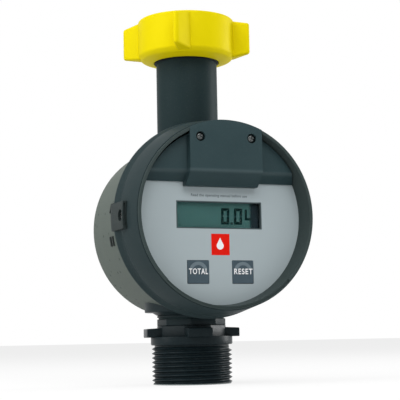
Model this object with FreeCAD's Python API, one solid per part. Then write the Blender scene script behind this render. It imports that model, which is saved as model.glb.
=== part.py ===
import FreeCAD, Part
import math
import os
from FreeCAD import Vector

# Turbine flow meter with a battery-powered display, in millimetres.
#
# +Z is the flow axis and points from the outlet to the inlet. The origin lies on the
# flow axis in the end face of the outlet thread. The display looks along -Y.
# The meter body is one moulding: an inlet tube, a round drum and an outlet neck.
# The display unit is a second housing in front of the drum.

# ---------------------------------------------------------------- driving sizes

# outlet nipple, G 1 1/4 male
THREAD_R = 20.955          # major radius of G 1 1/4
THREAD_MINOR_R = 19.476    # minor radius of G 1 1/4
THREAD_LENGTH = 19.0
THREAD_CHAMFER = 1.2
THREAD_RELIEF = 1.3        # plain undercut between thread and shoulder
NIPPLE_SHOULDER_R = 21.4
NIPPLE_SHOULDER_H = 4.4
NIPPLE_SHOULDER_CHAMFER = 0.8
NIPPLE_FLAT_R = 16.6       # from the axis to each of the four flats
NIPPLE_CORNER_R = 18.0
NIPPLE_BODY_H = 5.6
NIPPLE_LUG_R = 24.5
NIPPLE_LUG_W = 12.9
NIPPLE_LUG_H = 4.7
NIPPLE_TURN = -11.0        # degrees about Z at which the nipple came tight
SPIGOT_R = 14.6            # end of the nipple that screws into the neck
SPIGOT_LENGTH = 11.5
SPIGOT_GROOVE_W = 2.2      # groove for the O-ring
ORING_SECTION_R = 0.9

# flow line
BORE_R = 12.6              # clear bore of inlet, guides and nipple
INSERT_BORE_R = 13.5       # bore that takes the measuring insert
TUBE_R = 16.25             # outside of the inlet tube
CORE_TUBE_R = 17.6         # tube where it crosses the drum
NECK_STUB_R = 18.3
NECK_PAD_R = 23.8          # round pad that blends the neck into the drum
NECK_PAD_RISE = 8.7        # lower edge of the pad above the neck's end
NECK_PAD_CONE = 2.2        # the pad's lower edge is coned by this much
NECK_RING_R = 17.9
NECK_GROOVE_R = 17.2
NECK_OCTAGON_R = 18.0      # over the corners
NECK_OCTAGON_H = 3.5
NECK_GROOVE_H = 0.8
NECK_RING_H = 1.1
TUBE_LENGTH = 51.1         # inlet tube above the drum, up to its sealing face

# drum
DRUM_R = 46.0
NECK_LENGTH = 5.2          # from the foot's end to the lowest point of the drum
DRUM_HALF_DEPTH = 24.5     # either side of the flow axis
DRUM_WALL = 3.2
DRUM_EDGE_R = 2.0          # rounding of the rear edge
DRUM_PANEL_R = 38.0        # shallow sunk panel in the rear wall
DRUM_PANEL_DEPTH = 0.6
RIB_T = 2.4
RIB_OFFSET = 14.0          # ribs above and below the drum axis
MARK_T = 0.7               # height of the raised position marks beside the clips
MARK_W = 1.4
MARK_LENGTH = 5.0
MARK_GAP = 3.2             # from the clip to its marks, and from mark to mark
MARK_SETBACK = 5.2         # first mark behind the drum's front edge

# turbine insert
ROTOR_HUB_R = 5.5
ROTOR_HUB_H = 15.0
BLADE_COUNT = 6
BLADE_H = 12.0
BLADE_T = 1.1
BLADE_TWIST = 52.0         # degrees over the blade height
SHAFT_R = 1.2
MAGNET_R = 1.5
MAGNET_H = 5.0
MAGNET_PITCH_R = 3.45
BUSH_R = 2.6
BUSH_H = 5.0
SLEEVE_T = 0.85
GUIDE_H = 12.0
GUIDE_VANES = 5
GUIDE_VANE_T = 1.2
GUIDE_NOSE_H = 5.0
GUIDE_HUB_GAP = 0.8        # axial gap between rotor hub and guide hub
SNAP_RING_H = 1.0
SNAP_RING_DEPTH = 0.7      # how far the snap ring enters the tube
SNAP_RING_MOUTH = 6.0      # width of the snap ring's gap

# union nut, G 1 1/4 female
NUT_BODY_R = 25.8
NUT_WING_R = 34.4
NUT_WINGS = 4
NUT_WING_TIP = 4.0         # degrees of flat at the wing tip
NUT_WING_SLOPE = 13.0      # degrees over which a wing falls back to the body
NUT_DROP = 5.8             # nut's lower edge below the tube's sealing face
NUT_HEIGHT = 20.9
NUT_FLOOR = 3.5
NUT_HOLE_R = 17.4
NUT_ENTRY_H = 1.5          # coned entry of the thread
NUT_RELIEF_R = 20.6        # undercut below the thread, round the gasket
NUT_LOWER_ROUND = 2.4
NUT_UPPER_ROUND = 1.2
NUT_WING_DROP = 2.6        # fall of a wing's top edge towards its tip
NUT_WING_RISE = 1.8        # rise of a wing's lower edge towards its tip
NUT_WING_EDGE_R = 0.9
NUT_RIM_INSET = 1.8        # the coned underside ends this far inside the body's edge
NUT_LIP_DROP = 2.1         # the hole's lower lip lies this far below the body's edge
NUT_TURN = -33.0           # degrees about Z of the first wing's steep flank
BUSHING_FLANGE_R = 19.1
BUSHING_FLANGE_H = 1.8
BUSHING_DROP = 0.4         # bushing shows this far below the nut's lip
BUSHING_BEAD = 0.7
GASKET_R = 19.2
GASKET_H = 2.0

# display housing
RING_RISE = 2.5            # display axis above the drum axis
RING_OVER_DRUM = 4.8       # the ring's rear edge stands this far outside the drum
RING_TAPER = 3.45          # the ring narrows by this much from rear to front
RIM_Y = -51.3              # front plane of the rim
BEZEL_FLANGE = 1.2
BEZEL_FLANGE_INSET = 0.25  # bezel flange inside the ring's front edge
BEZEL_CONE = 0.6           # the flange's front slopes back by this much to its edge
RIM_WALL = 1.05            # wall of the ring at its front edge
SEAT_LEDGE = 1.7           # ledge behind the carrier
FACE_INSET = 2.0           # from the seat to the visible edge of the face
OPENING_INSET = 1.0        # from the seat to the front edge of the opening
RECESS_DEPTH = 10.9
REAR_LIP = 1.1
COVE_W = 7.6
COVE_DEPTH = 1.2
REAR_WALL_Y = -31.0        # inner face of the rear wall
REAR_WALL_T = 2.5
HOUSING_GASKET_T = 0.8
HOUSING_GASKET_W = 2.8
BEZEL_STEP_ANGLE = 45.0    # half angle of the sunk step at the bottom of the bezel
BEZEL_STEP_DEPTH = 0.8
BEZEL_STEP_RIDGE = 0.4     # thin ridge left outside the sunk step

# side clips that hold the display housing on the drum
CLIP_W = 15.5
CLIP_FRONT_Y = -40.0
CLIP_REAR_Y = -21.2
CLIP_PROUD = 0.8           # clip over the ring's rear edge
CLIP_FLOOR_INSET = 0.15    # recess floor inside the ring's front radius
CLIP_RECESS_FRONT_Y = -46.4
CLIP_HOOK_W = 7.4
CLIP_HOOK_T = 3.0
CLIP_HOOK_REACH = 2.2
CLIP_SCREW_Y = -35.6
CLIP_SCREW_R = 1.4
CLIP_SCREW_HEAD_R = 2.6
CLIP_SCREW_HEAD_H = 1.6
CLIP_SCREW_BITE = 1.9
CLIP_SCREW_SINK = 0.4
CLIP_MOUTH_DEPTH = 1.1     # sunk field in the clip's front end
CLIP_MOUTH_RIM = 1.1

# face, window and keys, heights measured from the display axis
FOIL_T = 0.6
FOIL_TOP = 18.0
CARRIER_T = 2.0
WINDOW_W = 46.4
WINDOW_H = 13.8
WINDOW_Z = 0.6
LENS_T = 1.2
LENS_LAP = 1.2
KEY_SIZE = 11.5
KEY_X = 12.1
KEY_Z = -27.9
KEY_PROUD = 0.25
KEY_FLANGE = 0.85
KEY_FLANGE_LAP = 0.9
KEY_STEM_R = 2.2
KEY_TRAVEL = 0.5
DOME_R = 3.0
DOME_H = 0.8

# electronics
LCD_W = 54.0
LCD_H = 20.0
LCD_T = 2.4
LCD_LEDGE = 1.4
STRIP_T = 1.8
BOARD_Y = -34.5
BOARD_T = 1.6
BOARD_INSET = 1.0          # board inside the chamber
BOARD_TOP = 16.4
BOARD_SCREW_PLACES = ((-34.0, 6.0), (34.0, 6.0), (-27.0, -27.0), (27.0, -27.0))
BOARD_SCREW_R = 1.2
BOARD_SCREW_HEAD_R = 2.2
BOARD_SCREW_HEAD_H = 1.3
BOARD_SCREW_FLOOR = 1.2    # wall left behind a board screw
POST_R = 3.0
CHIP_SIZE = 9.0
CHIP_X = 12.0
CHIP_T = 1.5
SENSOR_R = 3.0
SENSOR_WALL = 2.0          # plastic left between sensor and flow
SENSOR_BOSS_R = 5.6
SENSOR_BOSS_LENGTH = 4.0
SEAL_SECTION_R = 0.7

# battery bay and its cover
CELL_R = 8.5
CELL_LENGTH = 34.5
CELL_POLE_R = 3.2
CELL_POLE_H = 1.0
CELL_Y = -40.6
CELL_Z = 26.6
TRAY_WALL = 1.3
CONTACT_T = 0.6
COVER_T = 1.8
COVER_SIDE_Y = -46.5
COVER_SIDE_LOW = 16.9
COVER_SIDE_FOOT = 0.8      # upright foot of the side fields' slope
COVER_SIDE_CREASE = 22.2
CELL_SIDE_ROOM = 0.45      # between the cell's ends and the tongue's inner walls
TONGUE_LOW = 14.5
TONGUE_CREASE = 21.2
TONGUE_FOOT_Y = -44.6      # front of the tongue at its lower edge
TONGUE_LIP_T = 1.15
COVER_SLOPE_SHARE = 0.4    # how far the inner crease follows the wall up the slope
COVER_SCREW_X = 13.8
COVER_SCREW_INSET = 8.0    # cover screws inside the seat's radius, at the top
COVER_SCREW_R = 1.4
COVER_SCREW_HEAD_R = 2.1
COVER_SCREW_HEAD_H = 1.3
COVER_SCREW_SINK = 0.5
COVER_SCREW_LENGTH = 17.0
COVER_BOSS_R = 2.9

# clearances
FIT = 0.02                 # press and seat fits, on the radius
RUN = 0.06                 # running fits, on the radius
GAP = 0.15                 # loose fits of mouldings
TIP_GAP = 0.6              # turbine tips to the sleeve
NUT_PLAY = 0.1             # axial and radial play of the union nut

# ---------------------------------------------------------------- derived places

ROTOR_TIP_R = INSERT_BORE_R - SLEEVE_T - TIP_GAP
SHOULDER_Z = THREAD_LENGTH + THREAD_RELIEF
NIPPLE_BODY_Z = SHOULDER_Z + NIPPLE_SHOULDER_H
NECK_Z = NIPPLE_BODY_Z + NIPPLE_BODY_H
NECK_GROOVE_Z = NECK_Z + NECK_OCTAGON_H
NECK_PAD_Z = NECK_Z + NECK_PAD_RISE
SPIGOT_TOP_Z = NECK_Z + SPIGOT_LENGTH
DRUM_Z = NECK_Z + NECK_LENGTH + DRUM_R
RING_Z = DRUM_Z + RING_RISE
ROTOR_Z = RING_Z           # the pick-up looks at the middle of the turbine
TUBE_TOP_Z = DRUM_Z + DRUM_R + TUBE_LENGTH
NUT_BOTTOM_Z = TUBE_TOP_Z - NUT_DROP
NUT_TOP_Z = NUT_BOTTOM_Z + NUT_HEIGHT
NUT_FLOOR_Z = NUT_BOTTOM_Z + NUT_FLOOR
BUSHING_FLANGE_Z = NUT_FLOOR_Z + NUT_PLAY
BUSHING_TOP_Z = BUSHING_FLANGE_Z + BUSHING_FLANGE_H
BUSHING_R = NUT_HOLE_R - NUT_PLAY
NUT_RELIEF_Z = TUBE_TOP_Z + GASKET_H + 0.3

HUB_BOTTOM_Z = ROTOR_Z - ROTOR_HUB_H / 2
HUB_TOP_Z = ROTOR_Z + ROTOR_HUB_H / 2
UPPER_GUIDE_Z = HUB_TOP_Z + GUIDE_HUB_GAP
LOWER_GUIDE_Z = HUB_BOTTOM_Z - GUIDE_HUB_GAP - GUIDE_H
INSERT_TOP_Z = UPPER_GUIDE_Z + GUIDE_H
SNAP_RING_Z = LOWER_GUIDE_Z - SNAP_RING_H
SHAFT_BOTTOM_Z = LOWER_GUIDE_Z + GUIDE_H - BUSH_H + RUN
SHAFT_TOP_Z = UPPER_GUIDE_Z + BUSH_H - RUN

RING_REAR_R = DRUM_R + RING_OVER_DRUM
RING_FRONT_R = RING_REAR_R - RING_TAPER
SEAT_R = RING_FRONT_R - RIM_WALL
CHAMBER_R = SEAT_R - SEAT_LEDGE
FACE_R = SEAT_R - FACE_INSET
BEZEL_FLANGE_R = RING_FRONT_R - BEZEL_FLANGE_INSET
BEZEL_OPENING_R = SEAT_R - OPENING_INSET
BOARD_R = CHAMBER_R - BOARD_INSET
CLIP_OUTER_R = RING_REAR_R + CLIP_PROUD
CLIP_FLOOR = RING_FRONT_R - CLIP_FLOOR_INSET
COVER_SCREW_Z = SEAT_R - COVER_SCREW_INSET

DRUM_REAR_Y = DRUM_HALF_DEPTH
RING_REAR_Y = -DRUM_HALF_DEPTH
REAR_WALL_BACK_Y = REAR_WALL_Y + REAR_WALL_T
DRUM_FRONT_Y = REAR_WALL_BACK_Y + HOUSING_GASKET_T
HOUSING_FRONT_Y = RIM_Y + BEZEL_FLANGE
FOIL_Y = RIM_Y + RECESS_DEPTH
CARRIER_Y = FOIL_Y + FOIL_T
CARRIER_BACK_Y = CARRIER_Y + CARRIER_T
LCD_Y = CARRIER_BACK_Y + GAP
LCD_BACK_Y = LCD_Y + LCD_T
BOARD_BACK_Y = BOARD_Y + BOARD_T
TONGUE_W = CELL_LENGTH + 2 * (CELL_SIDE_ROOM + COVER_T)
CONTACT_R = CELL_Y - COVER_SIDE_Y - COVER_T - GAP
BATTERY_BAY_W = CELL_LENGTH + 2 * (CONTACT_T + TRAY_WALL + GAP)
BATTERY_BAY_LOW = CELL_Z - CELL_R - GAP
BATTERY_BAY_HIGH = CELL_Z + CELL_R + GAP
SENSOR_TIP_Y = -(INSERT_BORE_R + SENSOR_WALL)
SENSOR_BOSS_Y = -(CORE_TUBE_R + SENSOR_BOSS_LENGTH)

X = Vector(1, 0, 0)
Y = Vector(0, 1, 0)
Z = Vector(0, 0, 1)


# ---------------------------------------------------------------- helpers

def rod_z(radius, low, high, x=0.0, y=0.0):
    """A round bar along Z between two heights."""
    return Part.makeCylinder(radius, high - low, Vector(x, y, low), Z)


def rod_y(radius, front, back, x=0.0, z=0.0):
    """A round bar along Y between two depths."""
    return Part.makeCylinder(radius, back - front, Vector(x, front, z), Y)


def rod_x(radius, left, right, y, z):
    """A round bar along X."""
    return Part.makeCylinder(radius, right - left, Vector(left, y, z), X)


def block(x0, x1, y0, y1, z0, z1):
    """A box between two corners."""
    return Part.makeBox(x1 - x0, y1 - y0, z1 - z0, Vector(x0, y0, z0))


def turned_z(profile):
    """A solid turned about the flow axis from (radius, height) points."""
    points = [Vector(r, 0, z) for r, z in profile]
    face = Part.Face(Part.makePolygon(points + points[:1]))
    return face.revolve(Vector(0, 0, 0), Z, 360)


def turned_y(profile, centre_z):
    """A solid turned about a Y axis at a height from (radius, depth) points."""
    points = [Vector(r, y, centre_z) for r, y in profile]
    face = Part.Face(Part.makePolygon(points + points[:1]))
    return face.revolve(Vector(0, 0, centre_z), Y, 360)


def torus_z(radius, section, height):
    """An O-ring about the flow axis."""
    return Part.makeTorus(radius, section, Vector(0, 0, height), Z)


def prism_z(points, low, high):
    """An upright prism over (x, y) corners."""
    corners = [Vector(x, y, low) for x, y in points]
    face = Part.Face(Part.makePolygon(corners + corners[:1]))
    return face.extrude(Vector(0, 0, high - low))


def prism_x(points, left, right):
    """A prism along X over (y, z) corners."""
    corners = [Vector(left, y, z) for y, z in points]
    face = Part.Face(Part.makePolygon(corners + corners[:1]))
    return face.extrude(Vector(right - left, 0, 0))


def prism_y(points, front, back):
    """A prism along Y over (x, z) corners."""
    corners = [Vector(x, front, z) for x, z in points]
    face = Part.Face(Part.makePolygon(corners + corners[:1]))
    return face.extrude(Vector(0, back - front, 0))


def rounded_block_y(width, height, front, back, x, z, radius):
    """A plate facing -Y with its four upright corners rounded."""
    plate = block(x - width / 2, x + width / 2, front, back, z - height / 2, z + height / 2)
    edges = [e for e in plate.Edges if abs(abs(e.tangentAt(e.FirstParameter).y) - 1) < 1e-6]
    return plate.makeFillet(radius, edges)


def fuse_all(shapes):
    """Fuse a list of solids and merge the faces that run through."""
    result = shapes[0]
    for shape in shapes[1:]:
        result = result.fuse(shape)
    return result.removeSplitter()


def cut_all(shape, tools):
    """Cut a list of solids from one."""
    for tool in tools:
        shape = shape.cut(tool)
    return shape


def mirrored_x(shape):
    """The same shape on the other side of the display axis."""
    return shape.mirror(Vector(0, 0, 0), X)


def export(name, shape):
    """Write one sub-part, as its solid or as a group of separate solids."""
    solids = [solid for solid in shape.Solids]
    body = solids[0] if len(solids) == 1 else Part.makeCompound(solids)
    body.exportStep(os.path.join("parts", name + ".step"))
    print(name, len(solids), round(body.Volume, 1), body.isValid())


# ---------------------------------------------------------------- flow body

def drum_shell():
    """The round drum with a rounded rear edge, open to the front."""
    shell = rod_y(DRUM_R, DRUM_FRONT_Y, DRUM_REAR_Y, z=DRUM_Z)
    rear = [e for e in shell.Edges if abs(e.CenterOfMass.y - DRUM_REAR_Y) < 1e-6]
    return shell.makeFillet(DRUM_EDGE_R, rear)


def neck():
    """The outlet neck: an octagon for a spanner, a groove, a ring and a stub under the drum."""
    corners = [(NECK_OCTAGON_R * math.cos(math.radians(22.5 + 45 * k)),
                NECK_OCTAGON_R * math.sin(math.radians(22.5 + 45 * k))) for k in range(8)]
    ring_z = NECK_GROOVE_Z + NECK_GROOVE_H
    stub_z = ring_z + NECK_RING_H + NECK_GROOVE_H
    pad_top = DRUM_Z - math.sqrt(DRUM_R ** 2 - NECK_PAD_R ** 2) + 0.4
    pad = turned_z([(0, stub_z), (NECK_STUB_R, stub_z), (NECK_PAD_R - NECK_PAD_CONE, NECK_PAD_Z),
                    (NECK_PAD_R, NECK_PAD_Z), (NECK_PAD_R, pad_top), (0, pad_top)])
    pad = pad.cut(rod_y(DRUM_R - DRUM_WALL / 2, -DRUM_HALF_DEPTH, DRUM_HALF_DEPTH, z=DRUM_Z))
    return fuse_all([
        prism_z(corners, NECK_Z, NECK_GROOVE_Z),
        rod_z(NECK_GROOVE_R, NECK_GROOVE_Z, stub_z),
        rod_z(NECK_RING_R, ring_z, ring_z + NECK_RING_H),
        pad,
        rod_z(CORE_TUBE_R, stub_z, NECK_PAD_Z),
    ])


def position_marks():
    """Raised bars on the drum above and below each side clip."""
    marks = []
    for side in (-1, 1):
        for height in (RING_Z + CLIP_W / 2 + MARK_GAP, RING_Z - CLIP_W / 2 - MARK_GAP):
            reach = math.sqrt(DRUM_R ** 2 - (height - DRUM_Z) ** 2)
            angle = math.degrees(math.asin((height - DRUM_Z) / DRUM_R))
            for step in range(2):
                y = RING_REAR_Y + MARK_SETBACK + MARK_GAP * step
                bar = block(-0.8, MARK_T, y, y + MARK_W, -MARK_LENGTH / 2, MARK_LENGTH / 2)
                bar.rotate(Vector(0, 0, 0), Y, -angle)
                bar.translate(Vector(reach, 0, height))
                marks.append(bar if side > 0 else mirrored_x(bar))
    return marks


def flow_housing():
    """Inlet tube, drum and outlet neck as one hollow moulding."""
    cavity = rod_y(DRUM_R - DRUM_WALL, DRUM_FRONT_Y, DRUM_REAR_Y - DRUM_WALL, z=DRUM_Z)
    drum = drum_shell().cut(cavity)
    panel = rod_y(DRUM_PANEL_R, DRUM_REAR_Y - DRUM_PANEL_DEPTH, DRUM_REAR_Y, z=DRUM_Z)
    drum = drum.cut(panel)

    rib_reach = DRUM_R - DRUM_WALL / 2
    ribs = [block(-rib_reach, rib_reach, 0, DRUM_REAR_Y - DRUM_WALL / 2, z - RIB_T / 2, z + RIB_T / 2)
            for z in (DRUM_Z - RIB_OFFSET, DRUM_Z + RIB_OFFSET)]
    inside = rod_y(DRUM_R - DRUM_WALL / 2, DRUM_FRONT_Y, DRUM_REAR_Y - DRUM_WALL / 2, z=DRUM_Z)
    ribs = [rib.common(inside) for rib in ribs]

    core = rod_z(CORE_TUBE_R, NECK_PAD_Z, DRUM_Z + DRUM_R - DRUM_WALL)
    tube = rod_z(TUBE_R, DRUM_Z, TUBE_TOP_Z)
    boss = rod_y(SENSOR_BOSS_R, SENSOR_BOSS_Y, 0, z=RING_Z)
    body = fuse_all([drum, neck(), core, tube, boss] + ribs)

    step = INSERT_TOP_Z
    groove_r = INSERT_BORE_R + SNAP_RING_DEPTH
    clip_pockets = []
    for side in (-1, 1):
        depth = DRUM_R - CLIP_HOOK_REACH
        pocket = block(depth, DRUM_R + 2, CLIP_REAR_Y - CLIP_HOOK_T - GAP, CLIP_REAR_Y + GAP,
                       RING_Z - CLIP_HOOK_W / 2 - GAP, RING_Z + CLIP_HOOK_W / 2 + GAP)
        clip_pockets.append(pocket if side > 0 else mirrored_x(pocket))
    bead_z = BUSHING_TOP_Z - BUSHING_BEAD - FIT
    tube_groove = rod_z(TUBE_R + 1, bead_z, BUSHING_TOP_Z)
    tube_groove = tube_groove.cut(rod_z(TUBE_R - BUSHING_BEAD, bead_z, BUSHING_TOP_Z))
    body = cut_all(body, [
        rod_z(BORE_R, step, TUBE_TOP_Z),
        rod_z(INSERT_BORE_R, NECK_Z, step),
        rod_z(SPIGOT_R + FIT, NECK_Z, SPIGOT_TOP_Z + GAP),
        rod_z(groove_r, SNAP_RING_Z, SNAP_RING_Z + SNAP_RING_H),
        rod_y(SENSOR_R + RUN, SENSOR_BOSS_Y, SENSOR_TIP_Y, z=RING_Z),
        tube_groove,
    ] + clip_pockets)
    return fuse_all([body] + position_marks())


# ---------------------------------------------------------------- outlet nipple

def nipple_lug():
    """One spanner lug, pointing along -Y before the nipple's turn."""
    lug = block(-NIPPLE_LUG_W / 2, NIPPLE_LUG_W / 2, -NIPPLE_LUG_R, -BORE_R - 1,
                NIPPLE_BODY_Z, NIPPLE_BODY_Z + NIPPLE_LUG_H)
    tip = [e for e in lug.Edges if abs(e.CenterOfMass.y + NIPPLE_LUG_R) < 1e-6]
    return lug.makeChamfer(0.4, tip)


def outlet_nipple():
    """Threaded outlet with shoulder, four flats, four lugs and a spigot."""
    flats = block(-NIPPLE_FLAT_R, NIPPLE_FLAT_R, -NIPPLE_FLAT_R, NIPPLE_FLAT_R, NIPPLE_BODY_Z, NECK_Z)
    flats.rotate(Vector(0, 0, 0), Z, 45)
    body = flats.common(rod_z(NIPPLE_CORNER_R, NIPPLE_BODY_Z, NECK_Z))
    lugs = []
    for k in range(4):
        lug = nipple_lug()
        lug.rotate(Vector(0, 0, 0), Z, 90 * k)
        lugs.append(lug)
    thread = turned_z([(0, 0), (THREAD_R - THREAD_CHAMFER, 0), (THREAD_R, THREAD_CHAMFER),
                       (THREAD_R, THREAD_LENGTH), (THREAD_MINOR_R, THREAD_LENGTH),
                       (THREAD_MINOR_R, SHOULDER_Z),
                       (NIPPLE_SHOULDER_R - NIPPLE_SHOULDER_CHAMFER, SHOULDER_Z),
                       (NIPPLE_SHOULDER_R, SHOULDER_Z + NIPPLE_SHOULDER_CHAMFER),
                       (NIPPLE_SHOULDER_R, NIPPLE_BODY_Z), (0, NIPPLE_BODY_Z)])
    spigot = rod_z(SPIGOT_R, NECK_Z, SPIGOT_TOP_Z)
    nipple = fuse_all([thread, body, spigot] + lugs)
    groove_z = (NECK_Z + SPIGOT_TOP_Z) / 2
    groove = rod_z(SPIGOT_R + 1, groove_z - SPIGOT_GROOVE_W / 2, groove_z + SPIGOT_GROOVE_W / 2).cut(
        rod_z(SPIGOT_R + FIT - 2 * ORING_SECTION_R, 0, SPIGOT_TOP_Z))
    nipple = cut_all(nipple, [groove, rod_z(BORE_R, 0, SPIGOT_TOP_Z)])
    nipple.rotate(Vector(0, 0, 0), Z, NIPPLE_TURN)
    return nipple


def nipple_oring():
    """The O-ring in the groove of the spigot."""
    return torus_z(SPIGOT_R + FIT - ORING_SECTION_R, ORING_SECTION_R, (NECK_Z + SPIGOT_TOP_Z) / 2)


# ---------------------------------------------------------------- inlet side

def nut_wing():
    """One wing with a steep and a sloping flank, its lower and upper edges drawn in to the tip."""
    def at(radius, degrees):
        """A point of the wing's plan."""
        return (radius * math.cos(math.radians(degrees)), radius * math.sin(math.radians(degrees)))

    root_r = NUT_BODY_R - 2 * NUT_RIM_INSET
    foot = NUT_WING_TIP + NUT_WING_SLOPE
    plan = [at(root_r, 0), at(NUT_WING_R, 0), at(NUT_WING_R, NUT_WING_TIP), at(NUT_BODY_R, foot),
            at(root_r, foot)]
    wing = prism_z(plan, -NUT_LIP_DROP, NUT_HEIGHT)
    tips = [e for e in wing.Edges if abs(abs(e.tangentAt(e.FirstParameter).z) - 1) < 1e-6
            and math.hypot(e.CenterOfMass.x, e.CenterOfMass.y) > NUT_WING_R - 0.5]
    wing = wing.makeFillet(NUT_WING_EDGE_R, tips)
    rim_r = NUT_BODY_R - NUT_RIM_INSET
    tip_top = NUT_HEIGHT - NUT_WING_DROP
    form = turned_z([(0, 0), (rim_r, 0), (NUT_WING_R - NUT_LOWER_ROUND, NUT_WING_RISE),
                     (NUT_WING_R - NUT_LOWER_ROUND / 3, NUT_WING_RISE + NUT_LOWER_ROUND / 3),
                     (NUT_WING_R, NUT_WING_RISE + NUT_LOWER_ROUND), (NUT_WING_R, tip_top - NUT_UPPER_ROUND),
                     (NUT_WING_R - NUT_UPPER_ROUND, tip_top),
                     (NUT_BODY_R - NUT_UPPER_ROUND / 3, NUT_HEIGHT - NUT_UPPER_ROUND), (0, NUT_HEIGHT)])
    return wing.common(form)


def union_nut():
    """Winged union nut with the bore of its female thread, an inward floor and a coned underside."""
    rim_r = NUT_BODY_R - NUT_RIM_INSET
    body = turned_z([(0, -NUT_LIP_DROP), (NUT_HOLE_R, -NUT_LIP_DROP), (rim_r, -NUT_LIP_DROP / 4),
                     (NUT_BODY_R - NUT_LOWER_ROUND / 4, NUT_LOWER_ROUND / 4), (NUT_BODY_R, NUT_LOWER_ROUND),
                     (NUT_BODY_R, NUT_HEIGHT - NUT_UPPER_ROUND), (NUT_BODY_R - NUT_UPPER_ROUND, NUT_HEIGHT),
                     (0, NUT_HEIGHT)])
    wings = []
    for k in range(NUT_WINGS):
        wing = nut_wing()
        wing.rotate(Vector(0, 0, 0), Z, 360.0 / NUT_WINGS * k)
        wings.append(wing)
    nut = fuse_all([body] + wings)
    nut.rotate(Vector(0, 0, 0), Z, -90 + NUT_TURN)
    nut.translate(Vector(0, 0, NUT_BOTTOM_Z))
    entry_z = NUT_TOP_Z - NUT_ENTRY_H
    lip_z = NUT_BOTTOM_Z - NUT_LIP_DROP
    hollow = turned_z([(0, lip_z), (NUT_HOLE_R, lip_z), (NUT_HOLE_R, NUT_FLOOR_Z),
                       (NUT_RELIEF_R, NUT_FLOOR_Z), (NUT_RELIEF_R, NUT_RELIEF_Z),
                       (THREAD_MINOR_R, NUT_RELIEF_Z),
                       (THREAD_MINOR_R, entry_z), (THREAD_R, NUT_TOP_Z), (0, NUT_TOP_Z)])
    return nut.cut(hollow)


def nut_bushing():
    """Flanged bushing snapped on the tube's end, on which the nut hangs and turns."""
    low = NUT_BOTTOM_Z - NUT_LIP_DROP - BUSHING_DROP
    inner = TUBE_R + FIT
    bead_r = TUBE_R - BUSHING_BEAD + FIT
    bead_z = BUSHING_TOP_Z - BUSHING_BEAD
    return turned_z([(inner, low), (BUSHING_R, low), (BUSHING_R, BUSHING_FLANGE_Z),
                     (BUSHING_FLANGE_R, BUSHING_FLANGE_Z), (BUSHING_FLANGE_R, BUSHING_TOP_Z),
                     (bead_r, BUSHING_TOP_Z), (bead_r, bead_z), (inner, bead_z)])


def inlet_gasket():
    """Flat gasket on the tube's end face."""
    top = TUBE_TOP_Z + GASKET_H
    return rod_z(GASKET_R, TUBE_TOP_Z, top).cut(rod_z(BORE_R, TUBE_TOP_Z, top))


# ---------------------------------------------------------------- measuring insert

def flow_guide(low, nose_up):
    """A ring with vanes and a rounded hub that holds a bearing bush."""
    high = low + GUIDE_H
    ring = rod_z(INSERT_BORE_R - FIT, low, high).cut(rod_z(BORE_R, low, high))
    hub = rod_z(ROTOR_HUB_R, low, high)
    nose_z = high if nose_up else low
    nose = Part.makeSphere(ROTOR_HUB_R, Vector(0, 0, 0))
    squeeze = FreeCAD.Matrix()
    squeeze.scale(1.0, 1.0, GUIDE_NOSE_H / ROTOR_HUB_R)
    nose = nose.transformGeometry(squeeze)
    half_low = 0 if nose_up else -GUIDE_NOSE_H
    nose = nose.common(rod_z(ROTOR_HUB_R, half_low, half_low + GUIDE_NOSE_H))
    nose.translate(Vector(0, 0, nose_z))
    vanes = []
    for k in range(GUIDE_VANES):
        reach = (INSERT_BORE_R + BORE_R) / 2
        vane = block(ROTOR_HUB_R - GUIDE_VANE_T / 2, reach, -GUIDE_VANE_T / 2, GUIDE_VANE_T / 2, low, high)
        vane.rotate(Vector(0, 0, 0), Z, 360.0 / GUIDE_VANES * k)
        vanes.append(vane)
    guide = fuse_all([ring, hub, nose] + vanes)
    bush_low = low if nose_up else high - BUSH_H
    return guide.cut(rod_z(BUSH_R + FIT, bush_low, bush_low + BUSH_H))


def bearing_bushes():
    """The two bearing bushes, each in the blind bore of a guide and bored for the shaft."""
    bushes = []
    for low in (UPPER_GUIDE_Z, LOWER_GUIDE_Z + GUIDE_H - BUSH_H):
        bushes.append(rod_z(BUSH_R, low, low + BUSH_H).cut(rod_z(SHAFT_R + RUN, low, low + BUSH_H)))
    return Part.makeCompound(bushes)


def spacer_sleeve():
    """The tube between the two guides, in which the rotor runs."""
    low = LOWER_GUIDE_Z + GUIDE_H
    outer = rod_z(INSERT_BORE_R - FIT, low, UPPER_GUIDE_Z)
    return outer.cut(rod_z(INSERT_BORE_R - SLEEVE_T, low, UPPER_GUIDE_Z))


def snap_ring():
    """Open ring that locks the insert in the tube."""
    outer = rod_z(INSERT_BORE_R + SNAP_RING_DEPTH - FIT, SNAP_RING_Z, SNAP_RING_Z + SNAP_RING_H - FIT)
    ring = outer.cut(rod_z(BORE_R, SNAP_RING_Z, SNAP_RING_Z + SNAP_RING_H))
    half = SNAP_RING_MOUTH / 2
    return ring.cut(block(-half, half, 0, TUBE_R, SNAP_RING_Z - 1, SNAP_RING_Z + SNAP_RING_H + 1))


def blade(angle):
    """One twisted blade, lofted through turned sections and trimmed to the tip radius."""
    steps = 6
    low = ROTOR_Z - BLADE_H / 2
    sections = []
    for k in range(steps + 1):
        turn = math.radians(angle + BLADE_TWIST * (k / steps - 0.5))
        c = math.cos(turn)
        s = math.sin(turn)
        corners = [(ROTOR_HUB_R - 1.2, -BLADE_T / 2), (ROTOR_TIP_R + 1.0, -BLADE_T / 2),
                   (ROTOR_TIP_R + 1.0, BLADE_T / 2), (ROTOR_HUB_R - 1.2, BLADE_T / 2)]
        points = [Vector(x * c - y * s, x * s + y * c, low + BLADE_H * k / steps) for x, y in corners]
        sections.append(Part.makePolygon(points + points[:1]))
    return Part.makeLoft(sections, True, False)


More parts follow.
